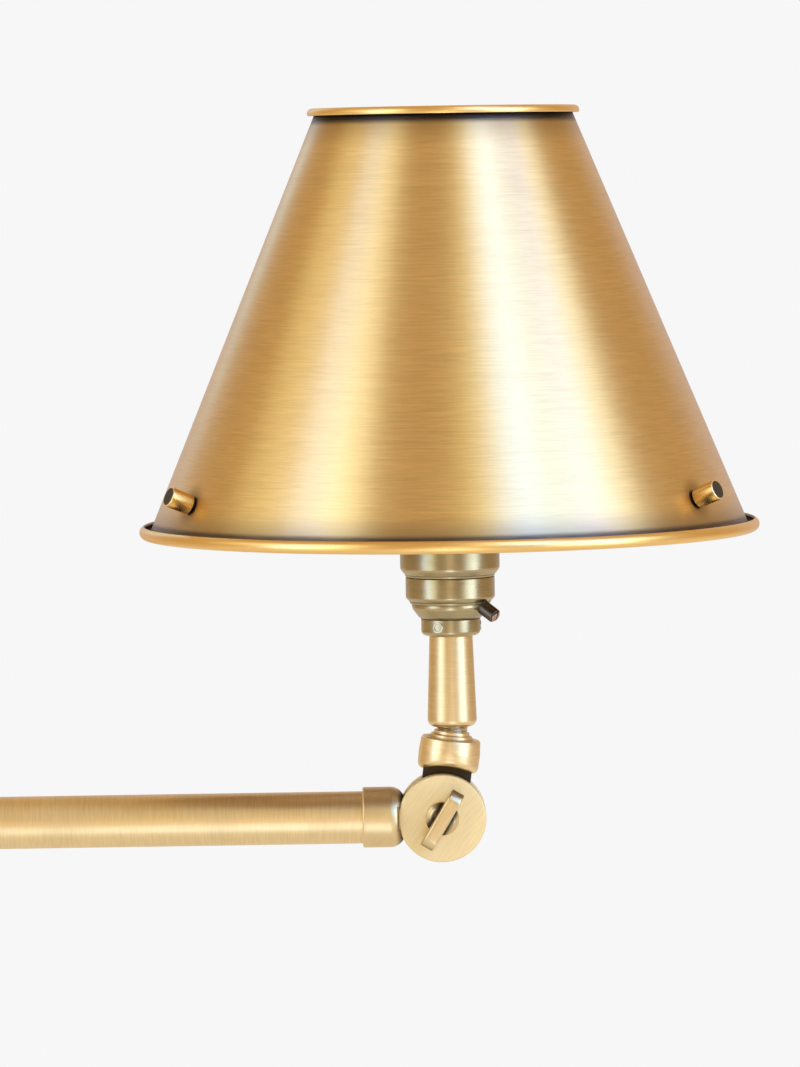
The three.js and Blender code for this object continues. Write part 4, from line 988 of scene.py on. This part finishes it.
class WALLLIGHT_OT_shade_fittings(bpy.types.Operator):
    """Makes the three knobs, the carrier that holds the shade and its ring nut"""

    bl_idname = "wall_light.shade_fittings"
    bl_label = "Shade fittings"

    def execute(self, context):
        shade = context.scene.wall_light_shade
        slope = math.atan2(shade.bottom_radius - shade.top_radius, shade.height)
        bend, rod = 15 * MM, 2.2 * MM
        knob_r, knob_z = KNOB_RADIUS, shade.lift + KNOB_RISE
        metal = knob_metal()
        carrier = brushed("carrier_metal", context.scene.wall_light_finish.arm, (0, 0, 1), 0.36)
        hoop_z = knob_z - bend * math.sin(slope)
        bend_r = knob_r - bend * math.cos(slope)
        surfaces = [
            turned(outline(
                (19.5 * MM, hoop_z - 1.5 * MM), (25 * MM, hoop_z - 1.5 * MM, 0.5 * MM),
                (25 * MM, hoop_z + 1.5 * MM, 0.5 * MM), (19.5 * MM, hoop_z + 1.5 * MM),
            ), SIDES)
        ]
        for i, azimuth in enumerate(KNOB_AZIMUTHS):
            turn = Matrix.Rotation(math.radians(azimuth - 90), 4, "Z")
            tilt = Matrix.Rotation(math.pi / 2 - slope, 4, "Y")
            on_wall = turn @ Matrix.Translation((knob_r, 0, knob_z)) @ tilt
            knob = moved(self.knob(), UPRIGHT @ on_wall)
            obj = piece(f"knob_{i + 1}", [knob], metal, "head", "shade_brass", f"shade_knob_{i + 1}")
            self.mark_end(obj, UPRIGHT @ on_wall)
            path = self.rod_path(bend_r, hoop_z, knob_r, knob_z, slope, 5.5 * MM)
            surfaces.append(moved(carried(path, rod), turn))
            face = -shade.wall - 0.9 * MM
            flange = turned(outline(
                (0, face - 1.2 * MM), (4.8 * MM, face - 1.2 * MM, 0.3 * MM),
                (4.8 * MM, face, 0.3 * MM), (0, face)
            ), SCREW_SIDES)
            surfaces.append(moved(flange, on_wall))
        surfaces = [moved(surface, UPRIGHT) for surface in surfaces]
        piece("carrier", surfaces, carrier, "head", "arm_brass", "shade_carrier")
        low, high = (z - HEAD_PIVOT.z for z in span("shade_ring_nut", 2))
        nut = turned(outline(
            (19.5 * MM, low), (23.5 * MM, low, 0.6 * MM),
            (23.5 * MM, high, 0.9 * MM), (19.5 * MM, high),
        ), SIDES)
        holder = brushed("nut_metal", context.scene.wall_light_finish.holder, (0, 0, 1), 0.38)
        piece("ring_nut", [moved(nut, UPRIGHT)], holder, "head", "holder_brass", "shade_ring_nut")
        return {"FINISHED"}

    @staticmethod
    def knob():
        """A short cylinder with a crisp eased edge, made along +Z from the shade's wall."""
        base, end, radius = 0.15 * MM, 9.6 * MM, 3.85 * MM
        return turned(outline(
            (0, base), (radius - 0.3 * MM, base, 0.1 * MM), (radius, base + 0.4 * MM, 0.2 * MM),
            (radius, end, 0.35 * MM), (radius - 0.55 * MM, end), (0, end),
        ), SCREW_SIDES)

    @staticmethod
    def mark_end(obj, place):
        """Marks the flat outer end, inside the eased edge, and the foot at the shade's wall."""
        points = np.empty(3 * len(obj.data.vertices))
        obj.data.vertices.foreach_get("co", points)
        back = np.array(place.inverted())
        local = points.reshape(-1, 3) @ back[:3, :3].T + back[:3, 3]
        on_end = (local[:, 2] > 9.59 * MM) & (np.hypot(local[:, 0], local[:, 1]) < 3.4 * MM)
        at_foot = local[:, 2] < 0.5 * MM
        for name, values in (("end", on_end), ("foot", at_foot)):
            obj.data.attributes.new(name, "FLOAT", "POINT").data.foreach_set("value", values.astype(float))

    @staticmethod
    def rod_path(bend_r, bend_z, knob_r, knob_z, slope, reach):
        """Straight out from the hoop, then square to the shade's wall, with a round bend between."""
        corner = np.array((bend_r, bend_z))
        inward = np.array((-1.0, 0.0))
        outward = np.array((math.cos(slope), math.sin(slope)))
        curve = 6 * MM
        t = np.linspace(0, 1, 9)[:, None]
        start, stop = corner + inward * curve, corner + outward * curve
        bend = (1 - t) ** 2 * start + 2 * t * (1 - t) * corner + t ** 2 * stop
        end = np.array((knob_r, knob_z)) + outward * reach
        flat = np.concatenate(([[23 * MM, bend_z]], bend, [end]))
        return np.column_stack((flat[:, 0], np.zeros(len(flat)), flat[:, 1]))


class WALLLIGHT_OT_holder(bpy.types.Operator):
    """Makes the lamp holder's cup, body and skirt, and its screws"""

    bl_idname = "wall_light.holder"
    bl_label = "Lamp holder"

    def execute(self, context):
        finish = context.scene.wall_light_finish
        metal = brushed(
            "holder_metal", finish.holder, (0, 0, 1), 0.30, worn_and_lit=(0.62, 0.47, 0.28), mottle=2.2, depth=1.5
        )
        cup_bottom = 70.3 * MM
        cup = outline(
            (6.2 * MM, cup_bottom), (11.4 * MM, cup_bottom, 1.9 * MM), (11.4 * MM, 76.9 * MM, 0.9 * MM),
            (12.4 * MM, 77.6 * MM, 0.8 * MM), (14.9 * MM, 81.0 * MM, 3.0 * MM), (14.9 * MM, 82.45 * MM),
            (13.6 * MM, 82.45 * MM), (13.6 * MM, 85.5 * MM),
            (12.0 * MM, 85.5 * MM), (12.0 * MM, 79.0 * MM),
            (6.2 * MM, 77.0 * MM),
        )
        body = outline(
            (14.3 * MM, 82.6 * MM), (15.5 * MM, 82.6 * MM, 0.5 * MM), (15.8 * MM, 83.6 * MM, 0.8 * MM),
            (17.2 * MM, 84.9 * MM, 1.7 * MM), (17.2 * MM, 92.9 * MM, 0.25 * MM), (14.3 * MM, 92.9 * MM),
            steps=9,
        )
        skirt = outline(
            (14.3 * MM, 93.05 * MM), (17.1 * MM, 93.05 * MM, 0.25 * MM),
            (17.4 * MM, 93.9 * MM, 0.9 * MM),
            (19.2 * MM, 96.0 * MM, 2.6 * MM), (19.2 * MM, 115.0 * MM), (23 * MM, 115.0 * MM, 0.5 * MM),
            (23 * MM, 117.5 * MM, 0.5 * MM), (19.2 * MM, 117.5 * MM),
            (19.2 * MM, 126.05 * MM, 0.4 * MM),
            (17.4 * MM, 126.05 * MM), (17.4 * MM, 97.0 * MM), (14.3 * MM, 95.0 * MM), steps=9,
        )
        for name, rows, node in (
            ("holder_cup", cup, "holder_cap"),
            ("holder_barrel", body, "holder_body"),
            ("holder_collar", skirt, "holder_skirt"),
        ):
            shell = moved(turned(rows, SIDES, closed=True), UPRIGHT)
            piece(name, [shell], metal, "head", "holder_brass", node)
        self.grub_screws(context)
        self.earth_terminal(context)
        return {"FINISHED"}

    @staticmethod
    def grub_screws(context):
        """Three slotted screws set into the cup's collar, each in a raised bright ring."""
        metal = plated("grub_metal", context.scene.wall_light_finish.nickel, 0.30, speck=0.8)
        face = 11.4 * MM
        for i, azimuth in enumerate((-26, 94, 214)):
            turn = Matrix.Rotation(math.radians(azimuth - 90), 4, "Z")
            place = UPRIGHT @ turn @ Matrix.Translation((0, 0, 73.9 * MM)) @ ALONG_X
            screw = turned(outline(
                (0, 7 * MM), (1.35 * MM, 7 * MM),
                (1.35 * MM, face - 0.05 * MM, 0.25 * MM), (0, face - 0.05 * MM)
            ), SCREW_SIDES)
            turned_in = place @ Matrix.Rotation(0.9, 4, "Z")
            screw = slotted(screw, turned_in, 0.45 * MM, 0.7 * MM, f"grub_{i + 1}")
            rim = turned(outline(
                (1.5 * MM, face - 1.2 * MM), (2.05 * MM, face - 1.2 * MM),
                (2.05 * MM, face + 0.22 * MM, 0.2 * MM),
                (1.5 * MM, face + 0.22 * MM, 0.2 * MM), (1.5 * MM, face - 1.1 * MM),
            ), SCREW_SIDES)
            surfaces = [screw, moved(rim, place)]
            piece(f"grub_{i + 1}", surfaces, metal, "head", "nickel", f"grub_screw_{i + 1}")

    @staticmethod
    def earth_terminal(context):
        """A dark post that points out and down from the holder's shoulder, with its screw."""
        dark = plated("terminal_metal", (0.13, 0.115, 0.10), 0.36, speck=0.7)
        copper = plated("terminal_screw_metal", (0.42, 0.31, 0.27), 0.38, speck=0.9)
        turn = Matrix.Rotation(math.radians(58 - 90), 4, "Z")
        tilt = Matrix.Rotation(math.radians(90 + 33), 4, "Y")
        place = UPRIGHT @ turn @ Matrix.Translation((15.1 * MM, 0, 81.2 * MM)) @ tilt
        post = turned(outline(
            (0, -1.5 * MM), (2.8 * MM, -1.5 * MM),
            (2.8 * MM, 5.8 * MM, 0.25 * MM), (2.25 * MM, 5.8 * MM),
            (2.25 * MM, 4.8 * MM), (0, 4.8 * MM),
        ), SCREW_SIDES)
        piece("terminal_post", [moved(post, place)], dark, "head", "dark_steel", "earth_terminal")
        head = turned(outline(
            (0, 5.0 * MM), (1.2 * MM, 5.0 * MM), (1.2 * MM, 5.4 * MM), (2.1 * MM, 5.4 * MM, 0.1 * MM),
            (2.1 * MM, 6.55 * MM, 0.5 * MM), (0, 6.75 * MM),
        ), SCREW_SIDES)
        head = slotted(head, place @ Matrix.Rotation(0.35, 4, "Z"), 0.55 * MM, 0.8 * MM, "terminal_screw")
        piece("terminal_screw", [head], copper, "head", "copper", "earth_terminal_screw")


class WALLLIGHT_OT_stem(bpy.types.Operator):
    """Makes the stem, the two rings at its foot and the plated neck between them"""

    bl_idname = "wall_light.stem"
    bl_label = "Stem"

    def execute(self, context):
        finish = context.scene.wall_light_finish
        metal = brushed("stem_metal", tuple(c * 0.95 for c in finish.arm), (0, 0, 1), 0.40, depth=1.5)
        low, high = 34.9 * MM, 70.25 * MM
        stem = outline(
            (6.2 * MM, low), (9.6 * MM, low, 2.9 * MM),
            (8.32 * MM, high, 0.25 * MM), (6.2 * MM, high), steps=10
        )
        sleeve = moved(turned(stem, SIDES, closed=True), UPRIGHT)
        piece("stem_sleeve", [sleeve], metal, "head", "arm_brass", "stem")

        leaning = TONGUE_PLACE @ ALONG_X
        wide = outline(
            (6.1 * MM, 30.05 * MM), (8.2 * MM, 30.05 * MM),
            (8.2 * MM, 32.0 * MM, 0.6 * MM), (6.1 * MM, 32.0 * MM)
        )
        narrow = outline(
            (6.1 * MM, 32.05 * MM), (6.95 * MM, 32.05 * MM),
            (6.95 * MM, 33.35 * MM, 0.45 * MM), (6.1 * MM, 33.35 * MM)
        )
        for name, rows, slot, node in (
            ("ring_wide", wide, "arm_brass", "stem_ring"),
            ("ring_narrow", narrow, "dark_steel", "stem_ring_step"),
        ):
            piece(name, [moved(turned(rows, closed=True), leaning)], metal, "head", slot, node)
        neck = self.thread(6.0 * MM, 28 * MM, 39 * MM, 0.9 * MM, 0.28 * MM)
        nickel = plated("neck_metal", (0.66, 0.58, 0.47), 0.24, speck=0.5)
        piece("neck", [moved(turned(neck), leaning)], nickel, "head", "nickel", "stem_nipple")
        return {"FINISHED"}

    @staticmethod
    def thread(radius, low, high, pitch, depth):
        """A threaded bar's profile: its radius falls by depth between crests a pitch apart."""
        along = np.arange(low, high, pitch / 8)
        across = radius - depth * (0.5 - 0.5 * np.cos(FULL * along / pitch))
        rows = np.column_stack((across, along, np.zeros(len(along))))
        return np.concatenate(([[0, low, 0]], rows, [[0, along[-1], 0]]))


class WALLLIGHT_OT_knuckles(bpy.types.Operator):
    """Makes the forks, tongues and wing screws of the three knuckles"""

    bl_idname = "wall_light.knuckles"
    bl_label = "Knuckles"

    def execute(self, context):
        arm = context.scene.wall_light_finish.arm
        pale_worn_and_lit = (1.0, 0.82, 0.49)
        sizes = context.scene.wall_light_knuckle
        forks = (
            ("wall", WALL_PLACE, "wall_plate", (0.5, 0.87, 0)),
            ("elbow", ELBOW_FORK_PLACE, "rear_arm", (0.5, 0.87, 0)),
            ("head", HEAD_PLACE, "front_arm", (0.8, 0, -0.6)),
        )
        lean = (math.sin(LEAN), 0, math.cos(LEAN))
        tongues = (
            ("wall", WALL_PLACE, "rear_arm", (0, 1, 0), ARM_RADIUS),
            ("elbow", ELBOW_PLACE, "front_arm", (1, 0, 0), ARM_RADIUS),
            ("head", TONGUE_PLACE, "head", lean, STEM_NIPPLE_BORE),
        )
        screws = (
            ("wall", WALL_PLACE, "wall_screw", 75, (0.3, 1, 0)),
            ("elbow", ELBOW_PLACE, "elbow_screw", 20, (-0.34, 0.94, 0)),
            ("head", HEAD_PLACE, "head_screw", 59, (0.86, 0, -0.51)),
        )
        for name, place, body, across in forks:
            down = place @ Vector((-8 * MM, -4 * MM, 0))
            # painted shade: each fork's colour is darker towards one side of its pivot
            darkened = (place.translation, (down - place.translation).normalized() / sizes.cheek_radius)
            metal = brushed(
                f"{name}_fork_metal", arm, across, 0.38, worn_and_lit=pale_worn_and_lit, shine=0.92, soften=0.22,
                mottle=0.3, painted_shade_side=darkened,
            )
            surfaces = [moved(surface, place) for surface in self.fork(context)]
            piece(f"{name}_knuckle_fork", surfaces, metal, body, "arm_brass", f"{name}_fork")
        for name, place, body, across, bore in tongues:
            metal = brushed(f"{name}_tongue_metal", tuple(c * 1.04 for c in arm), across, 0.40)
            surfaces = [moved(surface, place) for surface in self.tongue(context, bore)]
            piece(f"{name}_knuckle_tongue", surfaces, metal, body, "arm_brass", f"{name}_tongue")
        for name, place, body, turn, across in screws:
            dark = tuple(c * 0.88 for c in arm)
            metal = brushed(f"{name}_screw_metal", dark, across, 0.36, depth=1.4, mottle=0.8)
            place = place @ Matrix.Rotation(math.radians(turn), 4, "Z")
            surfaces = [moved(surface, place) for surface in self.wing_screw(context)]
            piece(f"{name}_thumb_screw", surfaces, metal, body, "arm_brass", f"{name}_wing_screw")
        return {"FINISHED"}

    @staticmethod
    def fork(context):
        """Two discs on webs that join them to a collar with a round shoulder and a socket."""
        sizes = context.scene.wall_light_knuckle
        radius, end = sizes.collar_radius, sizes.collar_end
        start, socket = 14.3 * MM, 10.15 * MM
        collar = outline(
            (0, start), (radius, start, 5.8 * MM), (radius, end, 0.7 * MM), (socket, end, 0.25 * MM),
            (socket, end - 7.7 * MM), (0, end - 7.7 * MM), steps=14,
        )
        points, faces, wear_and_painted_light = turned(collar)
        # the collar's shoulder by the discs is painted dark: painted shade where it meets them
        shoulder = np.clip((start + 4.4 * MM - points[:, 2]) / (3.2 * MM), 0, 1)
        wear_and_painted_light = np.where(shoulder > 0, -0.8 * shoulder, wear_and_painted_light)
        points, faces, wear_and_painted_light = moved((points, faces, wear_and_painted_light), AGAINST_X)
        # the shoulder is cut back where the discs lie over it
        under = np.hypot(points[:, 0], points[:, 1]) < sizes.cheek_radius + 0.3 * MM
        limit = sizes.cheek_face - 0.3 * MM
        points[under, 2] = np.clip(points[under, 2], -limit, limit)
        surfaces = [(points, faces, wear_and_painted_light)]
        web_half = (sizes.cheek_face - sizes.cheek_inner) / 2
        middle_z = (sizes.cheek_face + sizes.cheek_inner) / 2
        for side in (1, -1):
            inner, outer = sizes.cheek_inner, sizes.cheek_face
            disc = outline(
                (0, inner), (sizes.cheek_radius, inner, 0.3 * MM),
                (sizes.cheek_radius, outer - 0.5 * MM, 0.3 * MM),
                (sizes.cheek_radius - 0.4 * MM, outer, 0.5 * MM), (0, outer), steps=6,
            )
            points, faces, _ = turned(disc, SIDES)
            # the discs take the pale worn colour all over: a paler polished face with painted highlight
            disc = points, faces, np.ones(len(points))
            if side < 0:
                disc = moved(disc, Matrix.Rotation(math.pi, 4, "X"))
            surfaces.append(disc)
            web = plate(
                lambda inset: box_outline(-19 * MM, -12 * MM, 5.0 * MM, inset),
                web_half - 0.6 * MM, 0.5 * MM,
            )
            points, faces, _ = moved(web, Matrix.Translation((0, 0, side * (middle_z - 0.4 * MM))))
            # the webs between the cheeks are painted dark: patina and painted shade
            surfaces.append((points, faces, np.full(len(points), -1.0)))
        return surfaces

    @staticmethod
    def tongue(context, bore):
        """A plate that turns between the cheeks, and a collar whose end is hollowed about the pivot.

        The collar is a turned profile whose low end is lifted by sqrt(S^2 - y^2) - S, where S is the
        hollow's radius and y the distance from the collar's axis across the pivot.
        """
        sizes = context.scene.wall_light_knuckle
        radius, end, scallop = sizes.collar_radius, sizes.collar_end, sizes.scallop
        recess = end - 0.75 * MM
        collar = outline(
            (0, scallop), (radius - 0.1 * MM, scallop, 2.8 * MM),
            (radius + 0.2 * MM, scallop + 5 * MM, 6 * MM),
            (radius - 0.3 * MM, end, 1.1 * MM), (radius - 2.2 * MM, end, 0.6 * MM),
            (radius - 2.5 * MM, recess),
            (bore + 0.2 * MM, recess), (bore + 0.2 * MM, recess - 6 * MM),
            (0, recess - 6 * MM), steps=10,
        )
        # more rings across the hollow end, so that it can bend
        spread = straight((0, scallop), (collar[1, 0], collar[1, 1]), 16)
        collar = np.concatenate((spread[:-1], collar[1:]))
        points, faces, wear_and_painted_light = turned(collar)
        low = np.clip((end - 4 * MM - points[:, 2]) / (end - 4 * MM - scallop), 0, 1)
        lift = np.sqrt(scallop ** 2 - np.minimum(np.abs(points[:, 1]), radius) ** 2) - scallop
        points[:, 2] += low * lift
        surfaces = [moved((points, faces, wear_and_painted_light), ALONG_X)]
        half = 2.6 * MM
        disc = turned(outline(
            (0, -half), (16.4 * MM, -half, 0.4 * MM), (16.4 * MM, half, 0.4 * MM), (0, half)
        ), SIDES)
        neck = plate(lambda inset: box_outline(0, scallop + 2 * MM, 9.4 * MM, inset), half, 0.4 * MM)
        # the plate is painted near-black: patina and painted shade in the gap between the cheeks
        shaded_dark_plate = [(points, faces, np.full(len(points), -1.0)) for points, faces, _ in (disc, neck)]
        return surfaces + shaded_dark_plate

    @staticmethod
    def wing_screw(context):
        """A domed hub on the cheek, a flat blade with rounded corners and edges, and the shank."""
        sizes = context.scene.wall_light_knuckle
        seat = sizes.cheek_face + 0.1 * MM
        hub = turned(outline(
            (0, seat), (6.5 * MM, seat),
            (6.5 * MM, seat + 0.9 * MM, 0.5 * MM), (4.6 * MM, seat + 2.6 * MM, 2.2 * MM),
            (0, seat + 3.0 * MM), steps=9,
        ), SIDES)
        points, faces, wear_and_painted_light = hub
        beside = np.abs(points[:, 1]) - sizes.wing_thickness / 2
        shadow = np.clip((3.0 * MM - beside) / (2.2 * MM), 0, 1) * (points[:, 2] > seat + 1.0 * MM)
        hub = points, faces, np.where(shadow > 0.05, -0.9 * shadow, wear_and_painted_light * 0.3)
        half, high = sizes.wing_span / 2, seat + 9.8 * MM
        low = seat + 0.9 * MM
        blade = plate(
            lambda inset: blade_outline(
                half - inset, low + inset, high - inset, 4.5 * MM - inset, 5.4 * MM
            ),
            sizes.wing_thickness / 2, 0.6 * MM, steps=6,
        )
        points, faces, wear_and_painted_light = moved(blade, Matrix.Rotation(math.pi / 2, 4, "X"))
        # the blade's outer ends are painted darker: painted shade
        far = np.clip((np.abs(points[:, 0]) - half + 2.2 * MM) / (2 * MM), 0, 1)
        blade = points, faces, np.where(far > 0, -0.6 * far, wear_and_painted_light)
        shank = turned(outline(
            (0, -sizes.cheek_face + 0.5 * MM), (2.9 * MM, -sizes.cheek_face + 0.5 * MM, 0.6 * MM),
            (2.9 * MM, seat + 0.5 * MM), (0, seat + 0.5 * MM),
        ), SCREW_SIDES)
        return [hub, blade, shank]


def box_outline(left, right, half, inset):
    """The corners of a rectangle drawn in by inset."""
    return np.array(
        [
            (left + inset, -half + inset), (right - inset, -half + inset),
            (right - inset, half - inset), (left + inset, half - inset),
        ]
    )


def blade_outline(half, low, high, corner, waist):
    """A wing's outline: a narrow waist at the hub, sides that flare, and rounded outer corners."""
    shoulder = low + 2.4 * MM
    right = arc(half - corner, high - corner, corner, 0, math.pi / 2, 14)[:, :2]
    left = arc(-half + corner, high - corner, corner, math.pi / 2, math.pi, 14)[:, :2]
    flare = arc(half - 2.2 * MM, shoulder + 2.2 * MM, 2.2 * MM, -math.pi / 3, 0, 8)[:, :2]
    mirror = flare[::-1] * np.array((-1, 1))
    return np.concatenate(([[-waist, low], [waist, low]], flare, right, left, mirror))


class WALLLIGHT_OT_arms(bpy.types.Operator):
    """Makes the two arm tubes"""

    bl_idname = "wall_light.arms"
    bl_label = "Arms"

    def execute(self, context):
        arm = context.scene.wall_light_finish.arm
        for arm_name, axis, across, turn in (
            ("rear", 1, (0, 1, 0), ALONG_Y),
            ("front", 0, (1, 0, 0), ALONG_X),
        ):
            node = f"{arm_name}_arm_tube"
            centre = middle(node)
            low, high = (along - centre[axis] for along in span(node, axis))
            tube = moved(self.tube(low, high), Matrix.Translation(centre) @ turn)
            metal = brushed(f"{arm_name}_arm_metal", arm, across, 0.38)
            piece(f"{arm_name}_tube", [tube], metal, f"{arm_name}_arm", "arm_brass", node)
        return {"FINISHED"}

    @staticmethod
    def tube(low, high):
        """A tube's section: its outer and inner walls, turned about the arm's axis."""
        outer, inner = ARM_RADIUS, ARM_RADIUS - ARM_WALL
        outside = straight((outer, low), (outer, high), 40)
        inside = straight((inner, high), (inner, low), 2)
        return turned(np.concatenate((outside, inside)), closed=True)


class WALLLIGHT_OT_wall_plate(bpy.types.Operator):
    """Makes the wall plate, its cap nuts and the washer under the wall knuckle"""

    bl_idname = "wall_light.wall_plate"
    bl_label = "Wall plate"

    def execute(self, context):
        arm = context.scene.wall_light_finish.arm
        metal = brushed("plate_metal", arm, (0.8, 0, 0.6), 0.33)
        low, high = span("backplate", 0)
        radius, depth, wall = (high - low) / 2, 14 * MM, 1.6 * MM
        dish = outline(
            (0, depth - wall), (radius - wall - 0.2 * MM, depth - wall, 5.4 * MM),
            (radius - wall, 0.1 * MM),
            (radius, 0.1 * MM), (radius, 5.2 * MM, 0.4 * MM), (radius - 0.9 * MM, 6.0 * MM, 0.4 * MM),
            (radius - 0.9 * MM, depth, 6.2 * MM), (26 * MM, depth, 0.5 * MM),
            (25.4 * MM, depth + 0.6 * MM, 0.5 * MM),
            (0, depth + 0.6 * MM), steps=10,
        )
        dish = moved(turned(dish, 2 * SIDES), AGAINST_Y)
        piece("wall_dish", [dish], metal, "wall_plate", "arm_brass", "backplate")
        for side in ("left", "right"):
            place = Matrix.Translation((middle(f"cap_nut_{side}").x, 0, 0)) @ AGAINST_Y
            nut = turned(outline(
                (0, 14.1 * MM), (5 * MM, 14.1 * MM, 0.2 * MM), (5 * MM, 15.4 * MM, 0.4 * MM),
                (4.2 * MM, 15.9 * MM, 0.5 * MM), (4.9 * MM, 17.6 * MM, 1.6 * MM),
                (3.6 * MM, 20.6 * MM, 2.6 * MM),
                (0, 21.6 * MM), steps=8,
            ), SIDES)
            nut = moved(nut, place)
            piece(f"cap_nut_{side}_turned", [nut], metal, "wall_plate", "arm_brass", f"cap_nut_{side}")
        boss = turned(outline(
            (5.2 * MM, 14.2 * MM), (17 * MM, 14.2 * MM, 0.3 * MM), (17 * MM, 15.6 * MM, 0.6 * MM),
            (13.2 * MM, 17.85 * MM, 2.4 * MM), (5.2 * MM, 17.85 * MM), steps=9,
        ), SIDES)
        piece("boss", [moved(boss, AGAINST_Y)], metal, "wall_plate", "arm_brass", "boss_washer")
        return {"FINISHED"}


class WALLLIGHT_OT_bulb(bpy.types.Operator):
    """Makes the bulb's glass and its cap"""

    bl_idname = "wall_light.bulb"
    bl_label = "Bulb"

    def execute(self, context):
        low, high = (z - HEAD_PIVOT.z for z in span("bulb_glass", 2))
        radius, neck, wall = 30 * MM, 10.1 * MM, 1 * MM
        centre = high - radius
        flare = low + 10 * MM
        t = np.linspace(0, 1, 24)
        across = neck + (radius - neck) * (1 - np.cos(math.pi * t)) / 2
        rise = flare + (centre - flare) * t
        outside = np.concatenate((
            straight((neck, low), (neck, flare), 4)[:-1],
            np.column_stack((across, rise, np.zeros(len(t)))),
            arc(0, centre, radius, 0, math.pi / 2, 24)[1:],
        ))
        inside = outside[::-1].copy()
        inside[:, 0] = np.maximum(inside[:, 0] - wall, 0)
        inside[:, 1] -= wall * (inside[:, 1] > centre)
        glass = turned(np.concatenate((outside, inside, outside[:1])), SIDES, closed=False)
        piece("bulb_envelope", [moved(glass, UPRIGHT)], opal(), "head", "opal_glass", "bulb_glass")
        metal = plated("bulb_cap_metal", context.scene.wall_light_finish.nickel, 0.28)
        low = span("bulb_cap", 2)[0] - HEAD_PIVOT.z
        cup = turned(outline(
            (0, low), (8.5 * MM, low, 0.4 * MM),
            (11 * MM, low + 2.4 * MM, 0.6 * MM), (11 * MM, low + 22 * MM, 0.2 * MM),
            (10.4 * MM, low + 22 * MM), (10.4 * MM, low + 3 * MM), (0, low + 3 * MM),
        ))
        pin = turned(outline(
            (0, 10.5 * MM), (0.9 * MM, 10.5 * MM), (0.9 * MM, 13 * MM, 0.3 * MM), (0, 13 * MM)
        ), SCREW_SIDES)
        pin_height = Matrix.Translation((0, 0, low + 6 * MM))
        pins = [moved(pin, pin_height @ turn) for turn in (AGAINST_Y, ALONG_Y)]
        surfaces = [moved(surface, UPRIGHT) for surface in (cup, *pins)]
        piece("bulb_base", surfaces, metal, "head", "nickel", "bulb_cap")
        return {"FINISHED"}


class WALLLIGHT_OT_inner_parts(bpy.types.Operator):
    """Gives the parts that keep their own shape their finishes"""

    bl_idname = "wall_light.inner_parts"
    bl_label = "Inner parts"

    def execute(self, context):
        finish = context.scene.wall_light_finish
        steel = plated("zinc_steel", (0.42, 0.42, 0.43), 0.38, speck=0.6)
        nickel = plated("washer_metal", finish.nickel, 0.32)
        copper = plated("contact_metal", (0.62, 0.38, 0.27), 0.3)
        brass = brushed("sleeve_metal", finish.arm, (0, 0, 1), 0.36)
        by_slot = {
            "steel": steel,
            "nickel": nickel,
            "copper": copper,
            "arm_brass": brass,
            "porcelain": moulded("porcelain", (0.86, 0.84, 0.79), 0.22, coat=0.7),
            "plastic": moulded("block_plastic", (0.74, 0.72, 0.66), 0.45),
            "cable_jacket": moulded("cable_jacket", (0.035, 0.033, 0.031), 0.55, bump=0.1),
        }
        slots = {part["node"]: part["material_slot"] for part in frame["record"]["subparts"]}
        for name, obj in frame["nodes"].items():
            if obj.hide_render:
                continue
            obj.data.materials.clear()
            obj.data.materials.append(by_slot[slots[name]])
        return {"FINISHED"}


MAKERS = (
    WALLLIGHT_OT_stage,
    WALLLIGHT_OT_shade,
    WALLLIGHT_OT_shade_fittings,
    WALLLIGHT_OT_holder,
    WALLLIGHT_OT_stem,
    WALLLIGHT_OT_knuckles,
    WALLLIGHT_OT_arms,
    WALLLIGHT_OT_wall_plate,
    WALLLIGHT_OT_bulb,
    WALLLIGHT_OT_inner_parts,
)


class WALLLIGHT_PT_panel(bpy.types.Panel):
    """Lists the light's settings and the operators that make it"""

    bl_label = "Wall Light"
    bl_idname = "WALLLIGHT_PT_panel"
    bl_space_type = "VIEW_3D"
    bl_region_type = "UI"
    bl_category = "Wall Light"

    def draw(self, context):
        for maker in MAKERS:
            self.layout.operator(maker.bl_idname)
        for name, group in SETTINGS.items():
            box = self.layout.box()
            for prop in group.__annotations__:
                box.prop(getattr(context.scene, name), prop)


CLASSES = (*SETTINGS.values(), *MAKERS, WALLLIGHT_PT_panel)


def register():
    for cls in CLASSES:
        bpy.utils.register_class(cls)
    for name, group in SETTINGS.items():
        setattr(bpy.types.Scene, name, PointerProperty(type=group))


def unregister():
    for name in SETTINGS:
        delattr(bpy.types.Scene, name)
    for cls in reversed(CLASSES):
        bpy.utils.unregister_class(cls)


def main():
    register()
    for maker in MAKERS:
        family, action = maker.bl_idname.split(".")
        getattr(getattr(bpy.ops, family), action)()


if __name__ == "__main__":
    main()
